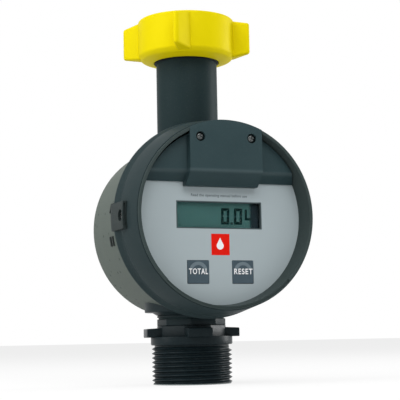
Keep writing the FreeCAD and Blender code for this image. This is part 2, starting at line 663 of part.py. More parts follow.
def turbine_rotor():
    """Hub with twisted blades, bored for the shaft and the magnets."""
    hub = rod_z(ROTOR_HUB_R, HUB_BOTTOM_Z, HUB_TOP_Z)
    blades = [blade(360.0 / BLADE_COUNT * k) for k in range(BLADE_COUNT)]
    wheel = fuse_all([hub] + blades)
    wheel = wheel.common(rod_z(ROTOR_TIP_R, HUB_BOTTOM_Z, HUB_TOP_Z))
    tools = [rod_z(SHAFT_R + FIT, HUB_BOTTOM_Z, HUB_TOP_Z)]
    for x in (-MAGNET_PITCH_R, MAGNET_PITCH_R):
        tools.append(rod_z(MAGNET_R + FIT, HUB_TOP_Z - MAGNET_H, HUB_TOP_Z, x=x))
    return cut_all(wheel, tools)


def rotor_magnets():
    """Two magnets in the hub, which the pick-up counts."""
    return Part.makeCompound([rod_z(MAGNET_R, HUB_TOP_Z - MAGNET_H, HUB_TOP_Z - 0.2, x=x)
                              for x in (-MAGNET_PITCH_R, MAGNET_PITCH_R)])


def rotor_shaft():
    """The shaft pressed through the hub and running in the two bushes."""
    return rod_z(SHAFT_R, SHAFT_BOTTOM_Z, SHAFT_TOP_Z)


# ---------------------------------------------------------------- display housing

def ring_radius(y):
    """Outer radius of the plain cone of the display housing at a depth."""
    share = (y - HOUSING_FRONT_Y) / (RING_REAR_Y - HOUSING_FRONT_Y)
    return RING_FRONT_R + (RING_REAR_R - RING_FRONT_R) * share


def ring_body():
    """The conical ring with a rear lip, a cove and a rear wall."""
    lip = RING_REAR_Y - REAR_LIP
    cove_end = lip - COVE_W
    cove_mid = (lip + cove_end) / 2
    axis_foot = Vector(0, 0, RING_Z)

    def at(radius, y):
        """A point of the section."""
        return Vector(radius, y, RING_Z)

    edges = [
        Part.makeLine(at(0, RING_REAR_Y), at(ring_radius(RING_REAR_Y), RING_REAR_Y)),
        Part.makeLine(at(ring_radius(RING_REAR_Y), RING_REAR_Y), at(ring_radius(lip), lip)),
        Part.Arc(at(ring_radius(lip), lip), at(ring_radius(cove_mid) - COVE_DEPTH, cove_mid),
                 at(ring_radius(cove_end), cove_end)).toShape(),
        Part.makeLine(at(ring_radius(cove_end), cove_end), at(RING_FRONT_R, HOUSING_FRONT_Y)),
        Part.makeLine(at(RING_FRONT_R, HOUSING_FRONT_Y), at(0, HOUSING_FRONT_Y)),
        Part.makeLine(at(0, HOUSING_FRONT_Y), at(0, RING_REAR_Y)),
    ]
    solid = Part.Face(Part.Wire(edges)).revolve(axis_foot, Y, 360)
    return cut_all(solid, [
        rod_y(SEAT_R, HOUSING_FRONT_Y, CARRIER_BACK_Y, z=RING_Z),
        rod_y(CHAMBER_R, CARRIER_BACK_Y, REAR_WALL_Y, z=RING_Z),
        rod_y(DRUM_R + GAP, REAR_WALL_BACK_Y, RING_REAR_Y, z=DRUM_Z),
    ])


def clip_recess(side):
    """Recess in the ring's side for one clip, open to the rear."""
    recess = block(CLIP_FLOOR, RING_REAR_R + 4, CLIP_RECESS_FRONT_Y, RING_REAR_Y,
                   RING_Z - CLIP_W / 2 - GAP, RING_Z + CLIP_W / 2 + GAP)
    return recess if side > 0 else mirrored_x(recess)


def display_housing():
    """The ring with screw posts and seats for the clips."""
    body = ring_body()
    posts = [rod_y(POST_R, BOARD_BACK_Y, REAR_WALL_Y + 0.5, x, RING_Z + z) for x, z in BOARD_SCREW_PLACES]
    cover_posts = [rod_y(COVER_BOSS_R, CARRIER_BACK_Y, REAR_WALL_Y + 0.5, x, RING_Z + COVER_SCREW_Z)
                   for x in (-COVER_SCREW_X, COVER_SCREW_X)]
    body = fuse_all([body] + posts + cover_posts)
    tip_y = RIM_Y + COVER_SCREW_SINK + COVER_SCREW_LENGTH
    tools = [rod_y(BOARD_SCREW_R + FIT, BOARD_BACK_Y, REAR_WALL_BACK_Y - BOARD_SCREW_FLOOR, x, RING_Z + z)
             for x, z in BOARD_SCREW_PLACES]
    tools += [rod_y(COVER_SCREW_R + FIT, CARRIER_BACK_Y, tip_y + GAP, x, RING_Z + COVER_SCREW_Z)
              for x in (-COVER_SCREW_X, COVER_SCREW_X)]
    tools.append(rod_y(SENSOR_R + 2 * SEAL_SECTION_R, REAR_WALL_Y, REAR_WALL_BACK_Y, z=RING_Z))
    for side in (-1, 1):
        tools.append(clip_recess(side))
        hole = rod_x(CLIP_SCREW_R + FIT, CLIP_FLOOR - CLIP_SCREW_BITE - GAP, CLIP_FLOOR, CLIP_SCREW_Y, RING_Z)
        tools.append(hole if side > 0 else mirrored_x(hole))
    return cut_all(body, tools)


def housing_gasket():
    """Flat gasket between the drum's front edge and the rear wall."""
    ring = rod_y(DRUM_R - GAP, REAR_WALL_BACK_Y, DRUM_FRONT_Y, z=DRUM_Z)
    return ring.cut(rod_y(DRUM_R - HOUSING_GASKET_W, REAR_WALL_BACK_Y, DRUM_FRONT_Y, z=DRUM_Z))


def bezel_step():
    """The sunk step over the lower part of the bezel, inside a thin ridge."""
    back = RIM_Y + BEZEL_STEP_DEPTH
    disc = rod_y(BEZEL_FLANGE_R - BEZEL_STEP_RIDGE, RIM_Y, back, z=RING_Z)
    reach = 2 * BEZEL_FLANGE_R
    side = reach * math.tan(math.radians(BEZEL_STEP_ANGLE))
    return disc.common(prism_y([(0, RING_Z), (-side, RING_Z - reach), (side, RING_Z - reach)], RIM_Y, back))


def bezel_ring():
    """Ring that clamps the face, with a front flange open at the top for the cover's tongue."""
    ring = turned_y([(FACE_R, FOIL_Y), (SEAT_R - GAP, FOIL_Y), (SEAT_R - GAP, HOUSING_FRONT_Y),
                     (BEZEL_FLANGE_R, HOUSING_FRONT_Y), (BEZEL_FLANGE_R, RIM_Y + BEZEL_CONE),
                     (BEZEL_OPENING_R, RIM_Y)], RING_Z)
    half = TONGUE_W / 2 + GAP
    notch = block(-half, half, RIM_Y, HOUSING_FRONT_Y, RING_Z, RING_Z + BEZEL_FLANGE_R + 1)
    return cut_all(ring, [notch, bezel_step()])


def clip_head_floor():
    """X of the seat under a clip screw's head."""
    return CLIP_OUTER_R - CLIP_SCREW_HEAD_H - CLIP_SCREW_SINK


def side_clips():
    """The two side clips, each hooked into the drum and screwed to the ring."""
    low = RING_Z - CLIP_W / 2
    high = RING_Z + CLIP_W / 2
    plate = block(CLIP_FLOOR, CLIP_OUTER_R + 1, CLIP_FRONT_Y, CLIP_REAR_Y, low, high)
    plate = plate.common(rod_y(CLIP_OUTER_R, CLIP_FRONT_Y, CLIP_REAR_Y, z=RING_Z))
    mouth = block(CLIP_FLOOR + CLIP_MOUTH_RIM, CLIP_OUTER_R - CLIP_MOUTH_RIM, CLIP_FRONT_Y,
                  CLIP_FRONT_Y + CLIP_MOUTH_DEPTH, low + CLIP_MOUTH_RIM, high - CLIP_MOUTH_RIM)
    hook = block(DRUM_R - CLIP_HOOK_REACH + GAP, CLIP_FLOOR + 1, CLIP_REAR_Y - CLIP_HOOK_T, CLIP_REAR_Y,
                 RING_Z - CLIP_HOOK_W / 2, RING_Z + CLIP_HOOK_W / 2)
    clip = fuse_all([plate, hook])
    clip = cut_all(clip, [
        mouth,
        rod_x(CLIP_SCREW_R + RUN, CLIP_FLOOR - 1, CLIP_OUTER_R, CLIP_SCREW_Y, RING_Z),
        rod_x(CLIP_SCREW_HEAD_R + GAP, clip_head_floor(), CLIP_OUTER_R + 1, CLIP_SCREW_Y, RING_Z),
    ])
    return Part.makeCompound([mirrored_x(clip), clip])


def clip_screws():
    """The screws of the two side clips."""
    seat = clip_head_floor()
    tip = CLIP_FLOOR - CLIP_SCREW_BITE
    shank = rod_x(CLIP_SCREW_R, tip, seat + CLIP_SCREW_HEAD_H / 2, CLIP_SCREW_Y, RING_Z)
    head = rod_x(CLIP_SCREW_HEAD_R, seat, seat + CLIP_SCREW_HEAD_H, CLIP_SCREW_Y, RING_Z)
    screw = fuse_all([shank, head])
    return Part.makeCompound([mirrored_x(screw), screw])


# ---------------------------------------------------------------- face and keys

def window_block(extra, front, back):
    """A rounded block in the place of the display window, enlarged on every side."""
    return rounded_block_y(WINDOW_W + 2 * extra, WINDOW_H + 2 * extra, front, back, 0, RING_Z + WINDOW_Z, 0.6)


def key_block(x, size, front, back):
    """A rounded block in the place of one key."""
    return rounded_block_y(size, size, front, back, x, RING_Z + KEY_Z, 0.5)


def bay_block(front, back, extra=0.0):
    """The opening of the battery bay."""
    half = BATTERY_BAY_W / 2 + extra
    low = RING_Z + BATTERY_BAY_LOW - extra
    return block(-half, half, front, back, low, RING_Z + BATTERY_BAY_HIGH + extra)


def face_foil():
    """Grey face foil with the window and the two key openings."""
    disc = rod_y(SEAT_R - GAP, FOIL_Y, CARRIER_Y, z=RING_Z)
    reach = SEAT_R + 1
    disc = disc.common(block(-reach, reach, FOIL_Y, CARRIER_Y, RING_Z - reach, RING_Z + FOIL_TOP))
    tools = [window_block(0, FOIL_Y, CARRIER_Y)]
    tools += [key_block(x, KEY_SIZE + 2 * GAP, FOIL_Y, CARRIER_Y) for x in (-KEY_X, KEY_X)]
    return cut_all(disc, tools)


def display_carrier():
    """Moulded plate behind the foil, with pocket for the lens and the battery bay."""
    disc = rod_y(SEAT_R - GAP, CARRIER_Y, CARRIER_BACK_Y, z=RING_Z)
    tools = [window_block(GAP, CARRIER_Y, CARRIER_BACK_Y),
             window_block(LENS_LAP + GAP, CARRIER_Y, CARRIER_Y + LENS_T)]
    tools += [key_block(x, KEY_SIZE + 2 * GAP, CARRIER_Y, CARRIER_BACK_Y) for x in (-KEY_X, KEY_X)]
    tools.append(bay_block(CARRIER_Y, CARRIER_BACK_Y, GAP))
    tools += [rod_y(COVER_SCREW_R + GAP, CARRIER_Y, CARRIER_BACK_Y, x, RING_Z + COVER_SCREW_Z)
              for x in (-COVER_SCREW_X, COVER_SCREW_X)]
    return cut_all(disc, tools)


def display_lens():
    """Clear window plate in the carrier's pocket."""
    return window_block(LENS_LAP, CARRIER_Y, CARRIER_Y + LENS_T)


def key(x):
    """A square key with a flange behind the carrier and a stem towards the board."""
    cap = key_block(x, KEY_SIZE, FOIL_Y - KEY_PROUD, CARRIER_BACK_Y + KEY_FLANGE)
    flange_front = CARRIER_BACK_Y + RUN
    flange = key_block(x, KEY_SIZE + 2 * KEY_FLANGE_LAP, flange_front, flange_front + KEY_FLANGE)
    stem_back = BOARD_Y - DOME_H - KEY_TRAVEL - RUN
    stem = rod_y(KEY_STEM_R, flange_front, stem_back, x, RING_Z + KEY_Z)
    return fuse_all([cap, flange, stem])


def key_domes():
    """The two snap domes on the board, one behind each key."""
    domes = []
    for x in (-KEY_X, KEY_X):
        ball_r = (DOME_R ** 2 + DOME_H ** 2) / (2 * DOME_H)
        ball = Part.makeSphere(ball_r, Vector(x, BOARD_Y - DOME_H + ball_r, RING_Z + KEY_Z))
        domes.append(ball.common(rod_y(DOME_R, BOARD_Y - DOME_H, BOARD_Y, x, RING_Z + KEY_Z)))
    return Part.makeCompound(domes)


# ---------------------------------------------------------------- electronics

def lcd_module():
    """Liquid-crystal glass behind the lens, its front pane shorter for the contact ledge."""
    middle = RING_Z + WINDOW_Z
    low = middle - LCD_H / 2
    glass = block(-LCD_W / 2, LCD_W / 2, LCD_Y, LCD_BACK_Y, low, middle + LCD_H / 2)
    return glass.cut(block(-LCD_W / 2, LCD_W / 2, LCD_Y, LCD_Y + LCD_T / 2, low, low + LCD_LEDGE))


def contact_strips():
    """Two elastic contact strips between glass and board."""
    half = LCD_W / 2 - LCD_LEDGE
    strips = []
    for z in (LCD_LEDGE - LCD_H / 2, LCD_H / 2 - LCD_LEDGE):
        height = RING_Z + WINDOW_Z + z
        strips.append(block(-half, half, LCD_BACK_Y, BOARD_Y, height - STRIP_T / 2, height + STRIP_T / 2))
    return Part.makeCompound(strips)


def circuit_board():
    """The board below the battery bay, with its controller on the back."""
    disc = rod_y(BOARD_R, BOARD_Y, BOARD_BACK_Y, z=RING_Z)
    low = RING_Z - BOARD_R
    board = disc.common(block(-BOARD_R, BOARD_R, BOARD_Y, BOARD_BACK_Y, low, RING_Z + BOARD_TOP))
    board = cut_all(board, [rod_y(BOARD_SCREW_R + RUN, BOARD_Y, BOARD_BACK_Y, x, RING_Z + z)
                            for x, z in BOARD_SCREW_PLACES])
    chip = block(CHIP_X, CHIP_X + CHIP_SIZE, BOARD_BACK_Y, BOARD_BACK_Y + CHIP_T,
                 RING_Z - CHIP_SIZE / 2, RING_Z + CHIP_SIZE / 2)
    return fuse_all([board, chip])


def board_screws():
    """The screws that hold the board on its posts."""
    screws = []
    tip_y = REAR_WALL_BACK_Y - BOARD_SCREW_FLOOR - GAP
    for x, z in BOARD_SCREW_PLACES:
        head = rod_y(BOARD_SCREW_HEAD_R, BOARD_Y - BOARD_SCREW_HEAD_H, BOARD_Y, x, RING_Z + z)
        shank = rod_y(BOARD_SCREW_R, BOARD_Y - BOARD_SCREW_HEAD_H / 2, tip_y, x, RING_Z + z)
        screws.append(fuse_all([head, shank]))
    return Part.makeCompound(screws)


def pickup_sensor():
    """Rod-shaped pick-up between the board and the pocket beside the rotor."""
    return rod_y(SENSOR_R, BOARD_BACK_Y, SENSOR_TIP_Y - GAP, z=RING_Z)


def sensor_seal():
    """O-ring round the pick-up in the rear wall."""
    middle = REAR_WALL_Y + REAR_WALL_T / 2
    return Part.makeTorus(SENSOR_R + SEAL_SECTION_R, SEAL_SECTION_R, Vector(0, middle, RING_Z), Y)


def battery_cell():
    """A 3 V cell, 17 mm across and 34.5 mm long, with its raised pole."""
    half = CELL_LENGTH / 2
    case = rod_x(CELL_R, -half, half - CELL_POLE_H, CELL_Y, RING_Z + CELL_Z)
    pole = rod_x(CELL_POLE_R, half - CELL_POLE_H, half, CELL_Y, RING_Z + CELL_Z)
    return fuse_all([case, pole])


def battery_tray():
    """Open cradle under the cell, on the rear wall."""
    half = BATTERY_BAY_W / 2
    low = RING_Z + BATTERY_BAY_LOW
    cradle = block(-half, half, CARRIER_Y + GAP, REAR_WALL_Y, low, RING_Z + BATTERY_BAY_HIGH)
    inner = half - TRAY_WALL
    trough = rod_x(CELL_R + GAP, -inner, inner, CELL_Y, RING_Z + CELL_Z)
    return cradle.cut(trough)


def battery_contacts():
    """The contact plates at the two ends of the cell."""
    inner = BATTERY_BAY_W / 2 - TRAY_WALL
    plates = []
    for left in (-inner, inner - CONTACT_T):
        plates.append(rod_x(CONTACT_R, left, left + CONTACT_T, CELL_Y, RING_Z + CELL_Z))
    return Part.makeCompound(plates)


# ---------------------------------------------------------------- battery cover

def cover_slab(inset, front, crease_z, foot_y, low_z):
    """A slab across the face with a crease and a sloping lower edge, inset all round."""
    top = RING_Z + SEAT_R
    low = RING_Z + low_z + inset
    crease = RING_Z + crease_z + inset * COVER_SLOPE_SHARE
    corners = [(front + inset, top), (front + inset, crease), (foot_y + inset / 2, low),
               (FOIL_Y, low), (FOIL_Y, top)]
    return prism_x(corners, -SEAT_R, SEAT_R)


def cover_solid(inset):
    """The cover's filled form: two sunk side fields and the raised tongue, inset all round."""
    side_foot = FOIL_Y - COVER_SIDE_FOOT - inset / 2
    side = cover_slab(inset, COVER_SIDE_Y, COVER_SIDE_CREASE, side_foot, COVER_SIDE_LOW)
    tongue = cover_slab(inset, RIM_Y, TONGUE_CREASE, TONGUE_FOOT_Y, TONGUE_LOW)
    half = TONGUE_W / 2 - inset
    plan = block(-half, half, RIM_Y, FOIL_Y, RING_Z, RING_Z + SEAT_R)
    field = rod_y(FACE_R - GAP - inset, RIM_Y, FOIL_Y, z=RING_Z)
    return fuse_all([side.common(field), tongue.common(plan).common(field)])


def battery_cover():
    """Dark cover over the upper part of the face, with a raised tongue that laps the rim."""
    shell = cover_solid(0.0).cut(cover_solid(COVER_T))
    lip_r = BEZEL_FLANGE_R - RUN
    half = TONGUE_W / 2
    lip_low = RING_Z + TONGUE_CREASE + COVER_T
    lip = rod_y(lip_r, RIM_Y, RIM_Y + TONGUE_LIP_T, z=RING_Z)
    lip = lip.common(block(-half, half, RIM_Y, RIM_Y + TONGUE_LIP_T, lip_low, RING_Z + lip_r))
    bosses = [rod_y(COVER_BOSS_R, RIM_Y + COVER_T / 2, CARRIER_Y, x, RING_Z + COVER_SCREW_Z)
              for x in (-COVER_SCREW_X, COVER_SCREW_X)]
    shell = fuse_all([shell, lip] + bosses)
    head_back = RIM_Y + COVER_SCREW_SINK + COVER_SCREW_HEAD_H
    height = RING_Z + COVER_SCREW_Z
    tools = []
    for x in (-COVER_SCREW_X, COVER_SCREW_X):
        tools.append(rod_y(COVER_SCREW_R + RUN, RIM_Y, CARRIER_Y, x, height))
        tools.append(rod_y(COVER_SCREW_HEAD_R + GAP, RIM_Y, head_back, x, height))
    return cut_all(shell, tools)


def cover_screws():
    """The two screws of the battery cover."""
    screws = []
    head_y = RIM_Y + COVER_SCREW_SINK
    for x in (-COVER_SCREW_X, COVER_SCREW_X):
        head = rod_y(COVER_SCREW_HEAD_R, head_y, head_y + COVER_SCREW_HEAD_H, x, RING_Z + COVER_SCREW_Z)
        shank = rod_y(COVER_SCREW_R, head_y + 0.5, head_y + COVER_SCREW_LENGTH, x, RING_Z + COVER_SCREW_Z)
        screws.append(fuse_all([head, shank]))
    return Part.makeCompound(screws)


# ---------------------------------------------------------------- output

os.makedirs("parts", exist_ok=True)

export("flow_housing", flow_housing())
export("outlet_nipple", outlet_nipple())
export("nipple_oring", nipple_oring())
export("union_nut", union_nut())
export("nut_bushing", nut_bushing())
export("inlet_gasket", inlet_gasket())
export("upper_flow_guide", flow_guide(UPPER_GUIDE_Z, nose_up=True))
export("lower_flow_guide", flow_guide(LOWER_GUIDE_Z, nose_up=False))
export("bearing_bushes", bearing_bushes())
export("spacer_sleeve", spacer_sleeve())
export("snap_ring", snap_ring())
export("turbine_rotor", turbine_rotor())
export("rotor_magnets", rotor_magnets())
export("rotor_shaft", rotor_shaft())
export("display_housing", display_housing())
export("housing_gasket", housing_gasket())
export("bezel_ring", bezel_ring())
export("side_clips", side_clips())
export("clip_screws", clip_screws())
export("face_foil", face_foil())
export("display_carrier", display_carrier())
export("display_lens", display_lens())
export("sum_key", key(-KEY_X))
export("reset_key", key(KEY_X))
export("key_domes", key_domes())
export("lcd_module", lcd_module())
export("contact_strips", contact_strips())
export("circuit_board", circuit_board())
export("board_screws", board_screws())
export("pickup_sensor", pickup_sensor())
export("sensor_seal", sensor_seal())
export("battery_cell", battery_cell())
export("battery_tray", battery_tray())
export("battery_contacts", battery_contacts())
export("battery_cover", battery_cover())
export("cover_screws", cover_screws())
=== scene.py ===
"""Visual model of a turbine flow meter with a round battery-powered display unit.

All sizes are in millimetres and are turned into metres where the meshes are made. The flow axis is Z,
the outlet thread ends at the origin and the display looks along -Y.
"""

from __future__ import annotations

import logging
import math
from contextlib import contextmanager
from dataclasses import dataclass, field
from enum import Enum
from typing import Callable, Iterator, Sequence

import bpy
from mathutils import Matrix, Vector

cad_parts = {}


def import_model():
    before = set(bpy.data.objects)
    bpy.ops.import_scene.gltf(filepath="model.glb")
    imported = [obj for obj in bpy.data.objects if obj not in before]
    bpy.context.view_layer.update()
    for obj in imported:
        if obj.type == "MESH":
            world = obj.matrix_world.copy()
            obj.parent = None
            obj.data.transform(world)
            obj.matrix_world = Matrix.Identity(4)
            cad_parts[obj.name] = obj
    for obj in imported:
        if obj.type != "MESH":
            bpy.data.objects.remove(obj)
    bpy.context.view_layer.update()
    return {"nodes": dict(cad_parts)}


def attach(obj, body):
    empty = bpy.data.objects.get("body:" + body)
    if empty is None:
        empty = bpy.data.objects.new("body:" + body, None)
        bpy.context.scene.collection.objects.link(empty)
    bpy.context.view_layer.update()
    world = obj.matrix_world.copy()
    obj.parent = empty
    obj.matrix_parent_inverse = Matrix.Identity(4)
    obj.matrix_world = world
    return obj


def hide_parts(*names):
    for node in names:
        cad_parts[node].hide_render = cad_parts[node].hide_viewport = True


MM = 0.001
LOG = logging.getLogger("flow_meter")
Pair = tuple[float, float]
Colour = tuple[float, float, float]
Piece = bpy.types.Object
Tree = bpy.types.NodeTree
Socket = bpy.types.NodeSocket

# Sizes and places that several pieces share, in mm.
BORE = 12.6
DISPLAY_Z = 84.0
DISPLAY_FRONT = -51.3
FACE_Y = -40.4
ORIGIN = Vector((0, 0, 0))
DISPLAY_MIDDLE = Vector((0, 0, DISPLAY_Z))

# How far cutting tools reach, in mm: past the display's rim, and past the whole meter.
BEYOND = 60.0
OVER_ALL = 200.0


class Axis(Enum):
    """The axis that a turned piece is spun about."""

    FLOW = "Z"
    DISPLAY = "Y"
    SIDE = "X"

    @property
    def direction(self) -> Vector:
        """The axis as a unit vector."""
        return {"X": Vector((1, 0, 0)), "Y": Vector((0, 1, 0)), "Z": Vector((0, 0, 1))}[self.value]

    def place(self, radius: float, height: float, centre: Vector) -> Vector:
        """A point of the section that is spun.

        Args:
            radius: distance from the axis, in mm.
            height: place along the axis, in mm.
            centre: a point of the axis, in mm.

        Returns:
            The point, in metres.
        """
        if self is Axis.FLOW:
            return Vector((centre.x + radius, centre.y, height)) * MM
        if self is Axis.DISPLAY:
            return Vector((centre.x + radius, height, centre.z)) * MM
        return Vector((height, centre.y, centre.z + radius)) * MM


class Cut(Enum):
    """What a second solid does to the first."""

    TAKE_AWAY = "DIFFERENCE"
    ADD = "UNION"


@dataclass(frozen=True)
class Corner:
    """A corner of a section, in mm, with the radius of its rounding."""

    radius: float
    height: float
    rounding: float = 0.0


def rounded(corners: Sequence[Corner], steps: int = 5, closed: bool = False) -> list[Pair]:
    """Lays arcs into the corners of a section.

    Args:
        corners: the corners in order.
        steps: how many short edges make one rounding.
        closed: whether the section runs back to its first corner.

    Returns:
        The points of the section, in mm; a closed one ends on its first point.
    """
    count = len(corners)
    points: list[Pair] = []
    for index, corner in enumerate(corners):
        here = Vector((corner.radius, corner.height))
        inner = closed or 0 < index < count - 1
        if corner.rounding <= 0 or not inner:
            points.append((here.x, here.y))
            continue
        before = corners[index - 1]
        after = corners[(index + 1) % count]
        back = Vector((before.radius, before.height)) - here
        ahead = Vector((after.radius, after.height)) - here
        half = back.angle(ahead) / 2
        reach = min(corner.rounding / math.tan(half), back.length * 0.49, ahead.length * 0.49)
        size = reach * math.tan(half)
        middle = here + (back.normalized() + ahead.normalized()).normalized() * (size / math.sin(half))
        first = here + back.normalized() * reach - middle
        last = here + ahead.normalized() * reach - middle
        sweep = math.pi - 2 * half
        for step in range(steps + 1):
            share = step / steps
            blend = first * math.sin((1 - share) * sweep) + last * math.sin(share * sweep)
            spot = middle + blend / math.sin(sweep)
            points.append((spot.x, spot.y))
    if closed:
        points.append(points[0])
    return points


class Bench:
    """The few ways in which all pieces of the meter are made."""

    @staticmethod
    def put_down() -> None:
        """Leaves edit mode and deselects everything."""
        if bpy.context.object is not None and bpy.context.object.mode != "OBJECT":
            bpy.ops.object.mode_set(mode="OBJECT")
        bpy.ops.object.select_all(action="DESELECT")

    @staticmethod
    def pick(piece: Piece) -> None:
        """Makes one piece the selected and active one."""
        Bench.put_down()
        piece.select_set(True)
        bpy.context.view_layer.objects.active = piece

    @staticmethod
    def settle(piece: Piece) -> None:
        """Makes one piece the active one and puts its place and turn into its mesh."""
        Bench.pick(piece)
        bpy.ops.object.transform_apply(location=True, rotation=True, scale=True)

    @staticmethod
    @contextmanager
    def edited(piece: Piece) -> Iterator[None]:
        """Opens a piece in edit mode, with all of it selected, and leaves edit mode afterwards."""
        Bench.pick(piece)
        bpy.ops.object.mode_set(mode="EDIT")
        bpy.ops.mesh.select_all(action="SELECT")
        yield
        bpy.ops.object.mode_set(mode="OBJECT")

    @staticmethod
    @contextmanager
    def edited_part(piece: Piece, kind: str, wanted: Callable[..., bool]) -> Iterator[None]:
        """Opens a piece in edit mode, with some of it selected, and leaves edit mode afterwards.

        Args:
            piece: the piece.
            kind: what is selected, "EDGE" or "FACE".
            wanted: tells of an edge or face whether it is selected.
        """
        with Bench.edited(piece):
            bpy.ops.mesh.select_mode(type=kind)
            bpy.ops.mesh.select_all(action="DESELECT")
            bpy.ops.object.mode_set(mode="OBJECT")
            for item in piece.data.edges if kind == "EDGE" else piece.data.polygons:
                item.select = wanted(item)
            bpy.ops.object.mode_set(mode="EDIT")
            yield

    @staticmethod
    def wire(name: str, points: Sequence[Vector]) -> Piece:
        """Draws a chain of edges, and stays in edit mode.

        Args:
            name: name of the new piece.
            points: the chain's points, in metres.

        Returns:
            The piece, with all of it selected.
        """
        Bench.put_down()
        bpy.ops.mesh.primitive_plane_add(size=0.001, location=points[0])
        piece = bpy.context.object
        piece.name = name
        bpy.ops.object.mode_set(mode="EDIT")
        bpy.ops.mesh.select_mode(type="VERT")
        bpy.ops.mesh.select_all(action="SELECT")
        bpy.ops.mesh.merge(type="CENTER")
        for here, there in zip(points, points[1:]):
            bpy.ops.mesh.extrude_vertices_move(TRANSFORM_OT_translate={"value": tuple(there - here)})
        bpy.ops.mesh.select_all(action="SELECT")
        return piece

    @staticmethod
    def turn(name: str, section: Sequence[Pair], axis: Axis, centre: Vector = ORIGIN,
             steps: int = 160) -> Piece:
        """Spins a section into a closed turned piece.

        Args:
            name: name of the new piece.
            section: points as (radius, height), in mm.
            axis: the axis to spin about.
            centre: a point of the axis, in mm.
            steps: how many facets go round.

        Returns:
            The piece, in object mode.
        """
        piece = Bench.wire(name, [axis.place(r, h, centre) for r, h in section])
        bpy.ops.mesh.spin(steps=steps, angle=math.tau, center=tuple(centre * MM), axis=tuple(axis.direction))
        Bench.close_up()
        return piece

    @staticmethod
    def close_up() -> None:
        """Merges doubled points, turns all faces outwards and leaves edit mode."""
        bpy.ops.mesh.select_all(action="SELECT")
        bpy.ops.mesh.remove_doubles(threshold=0.000002)
        bpy.ops.mesh.normals_make_consistent(inside=False)
        bpy.ops.object.mode_set(mode="OBJECT")

    @staticmethod
    def prism(name: str, outline: Sequence[Vector], depth: Vector) -> Piece:
        """Fills an outline and draws it out.

        Args:
            name: name of the new piece.
            outline: corners of the flat outline, in mm.
            depth: how far and which way it is drawn out, in mm.

        Returns:
            The piece, in object mode.
        """
        piece = Bench.wire(name, [corner * MM for corner in outline])
        bpy.ops.mesh.edge_face_add()
        bpy.ops.mesh.extrude_region_move(TRANSFORM_OT_translate={"value": tuple(depth * MM)})
        Bench.close_up()
        return piece

    @staticmethod
    def block(name: str, low: Vector, high: Vector) -> Piece:
        """A block between two corners, in mm, ready to be shaped."""
        Bench.put_down()
        bpy.ops.mesh.primitive_cube_add(size=1, location=(low + high) / 2 * MM, scale=(high - low) * MM)
        piece = bpy.context.object
        piece.name = name
        Bench.settle(piece)
        return piece

    @staticmethod
    def rod(name: str, radius: float, start: Vector, axis: Axis, length: float, sides: int = 48) -> Piece:
        """A round rod from a start point along an axis, in mm, ready to be shaped."""
        Bench.put_down()
        quarter = math.pi / 2
        turn = {Axis.FLOW: (0, 0, 0), Axis.DISPLAY: (quarter, 0, 0), Axis.SIDE: (0, quarter, 0)}[axis]
        middle = start + axis.direction * length / 2
        bpy.ops.mesh.primitive_cylinder_add(vertices=sides, radius=radius * MM, depth=abs(length) * MM,
                                            location=middle * MM, rotation=turn)
        piece = bpy.context.object
        piece.name = name
        Bench.settle(piece)
        return piece

    @staticmethod
    def slice_off(piece: Piece, point: Vector, normal: Vector, fill: bool = True) -> None:
        """Cuts a piece by a plane and drops the side that the normal points to.

        Args:
            piece: the piece to cut.
            point: a point of the plane, in mm.
            normal: the plane's normal, towards what is dropped.
            fill: whether the cut is closed with a face.
        """
        with Bench.edited(piece):
            bpy.ops.mesh.bisect(plane_co=tuple(point * MM), plane_no=tuple(normal), use_fill=fill,
                                clear_outer=True)

    @staticmethod
    def combine(piece: Piece, tools: Sequence[Piece], cut: Cut) -> None:
        """Cuts solids out of a piece or adds them to it, and removes the tools.

        Args:
            piece: the piece that stays.
            tools: the solids that act on it.
            cut: what they do.
        """
        for tool in tools:
            Bench.pick(piece)
            change = piece.modifiers.new("cut", "BOOLEAN")
            change.operation = cut.value
            change.solver = "EXACT"
            change.object = tool
            bpy.ops.object.modifier_apply(modifier=change.name)
            bpy.data.objects.remove(tool)

    @staticmethod
    def bore_out(piece: Piece, radius: float) -> None:
        """Bores a piece right through along the flow axis, by a radius in mm."""
        tool = Bench.rod("bore_tool", radius, ORIGIN, Axis.FLOW, OVER_ALL, 96)
        Bench.combine(piece, [tool], Cut.TAKE_AWAY)

    @staticmethod
    def soften(piece: Piece, width: float, segments: int = 3, angle: float = 35.0) -> None:
        """Rounds the sharp edges of a piece.

        Args:
            piece: the piece.
            width: width of the rounding, in mm.
            segments: how many strips make it.
            angle: edges sharper than this are rounded, in degrees.
        """
        Bench.pick(piece)
        change = piece.modifiers.new("edges", "BEVEL")
        change.width = width * MM
        change.segments = segments
        change.limit_method = "ANGLE"
        change.angle_limit = math.radians(angle)
        change.harden_normals = False
        bpy.ops.object.modifier_apply(modifier=change.name)

    @staticmethod
    def rotate_about_flow(piece: Piece, degrees: float) -> None:
        """Turns the mesh of a piece about the flow axis."""
        Bench.settle(piece)
        piece.data.transform(Matrix.Rotation(math.radians(degrees), 4, "Z"))

    @staticmethod
    def twin(piece: Piece, name: str, change: Matrix) -> Piece:
        """Copies a piece with a mesh of its own, moved or mirrored.

        Args:
            piece: the piece to copy.
            name: name of the copy.
            change: how the copy's mesh is placed, in metres.

        Returns:
            The copy.
        """
        Bench.settle(piece)
        bpy.ops.object.duplicate(linked=False)
        copy = bpy.context.object
        copy.name = name
        copy.data.transform(change)
        if change.determinant() < 0:
            with Bench.edited(copy):
                bpy.ops.mesh.flip_normals()
        return copy

    @staticmethod
    def four_round(first: Piece) -> list[Piece]:
        """A piece and its three copies at quarter turns about the flow axis."""
        turns = [Matrix.Rotation(math.radians(90 * k), 4, "Z") for k in (1, 2, 3)]
        return [first] + [Bench.twin(first, first.name, turn) for turn in turns]

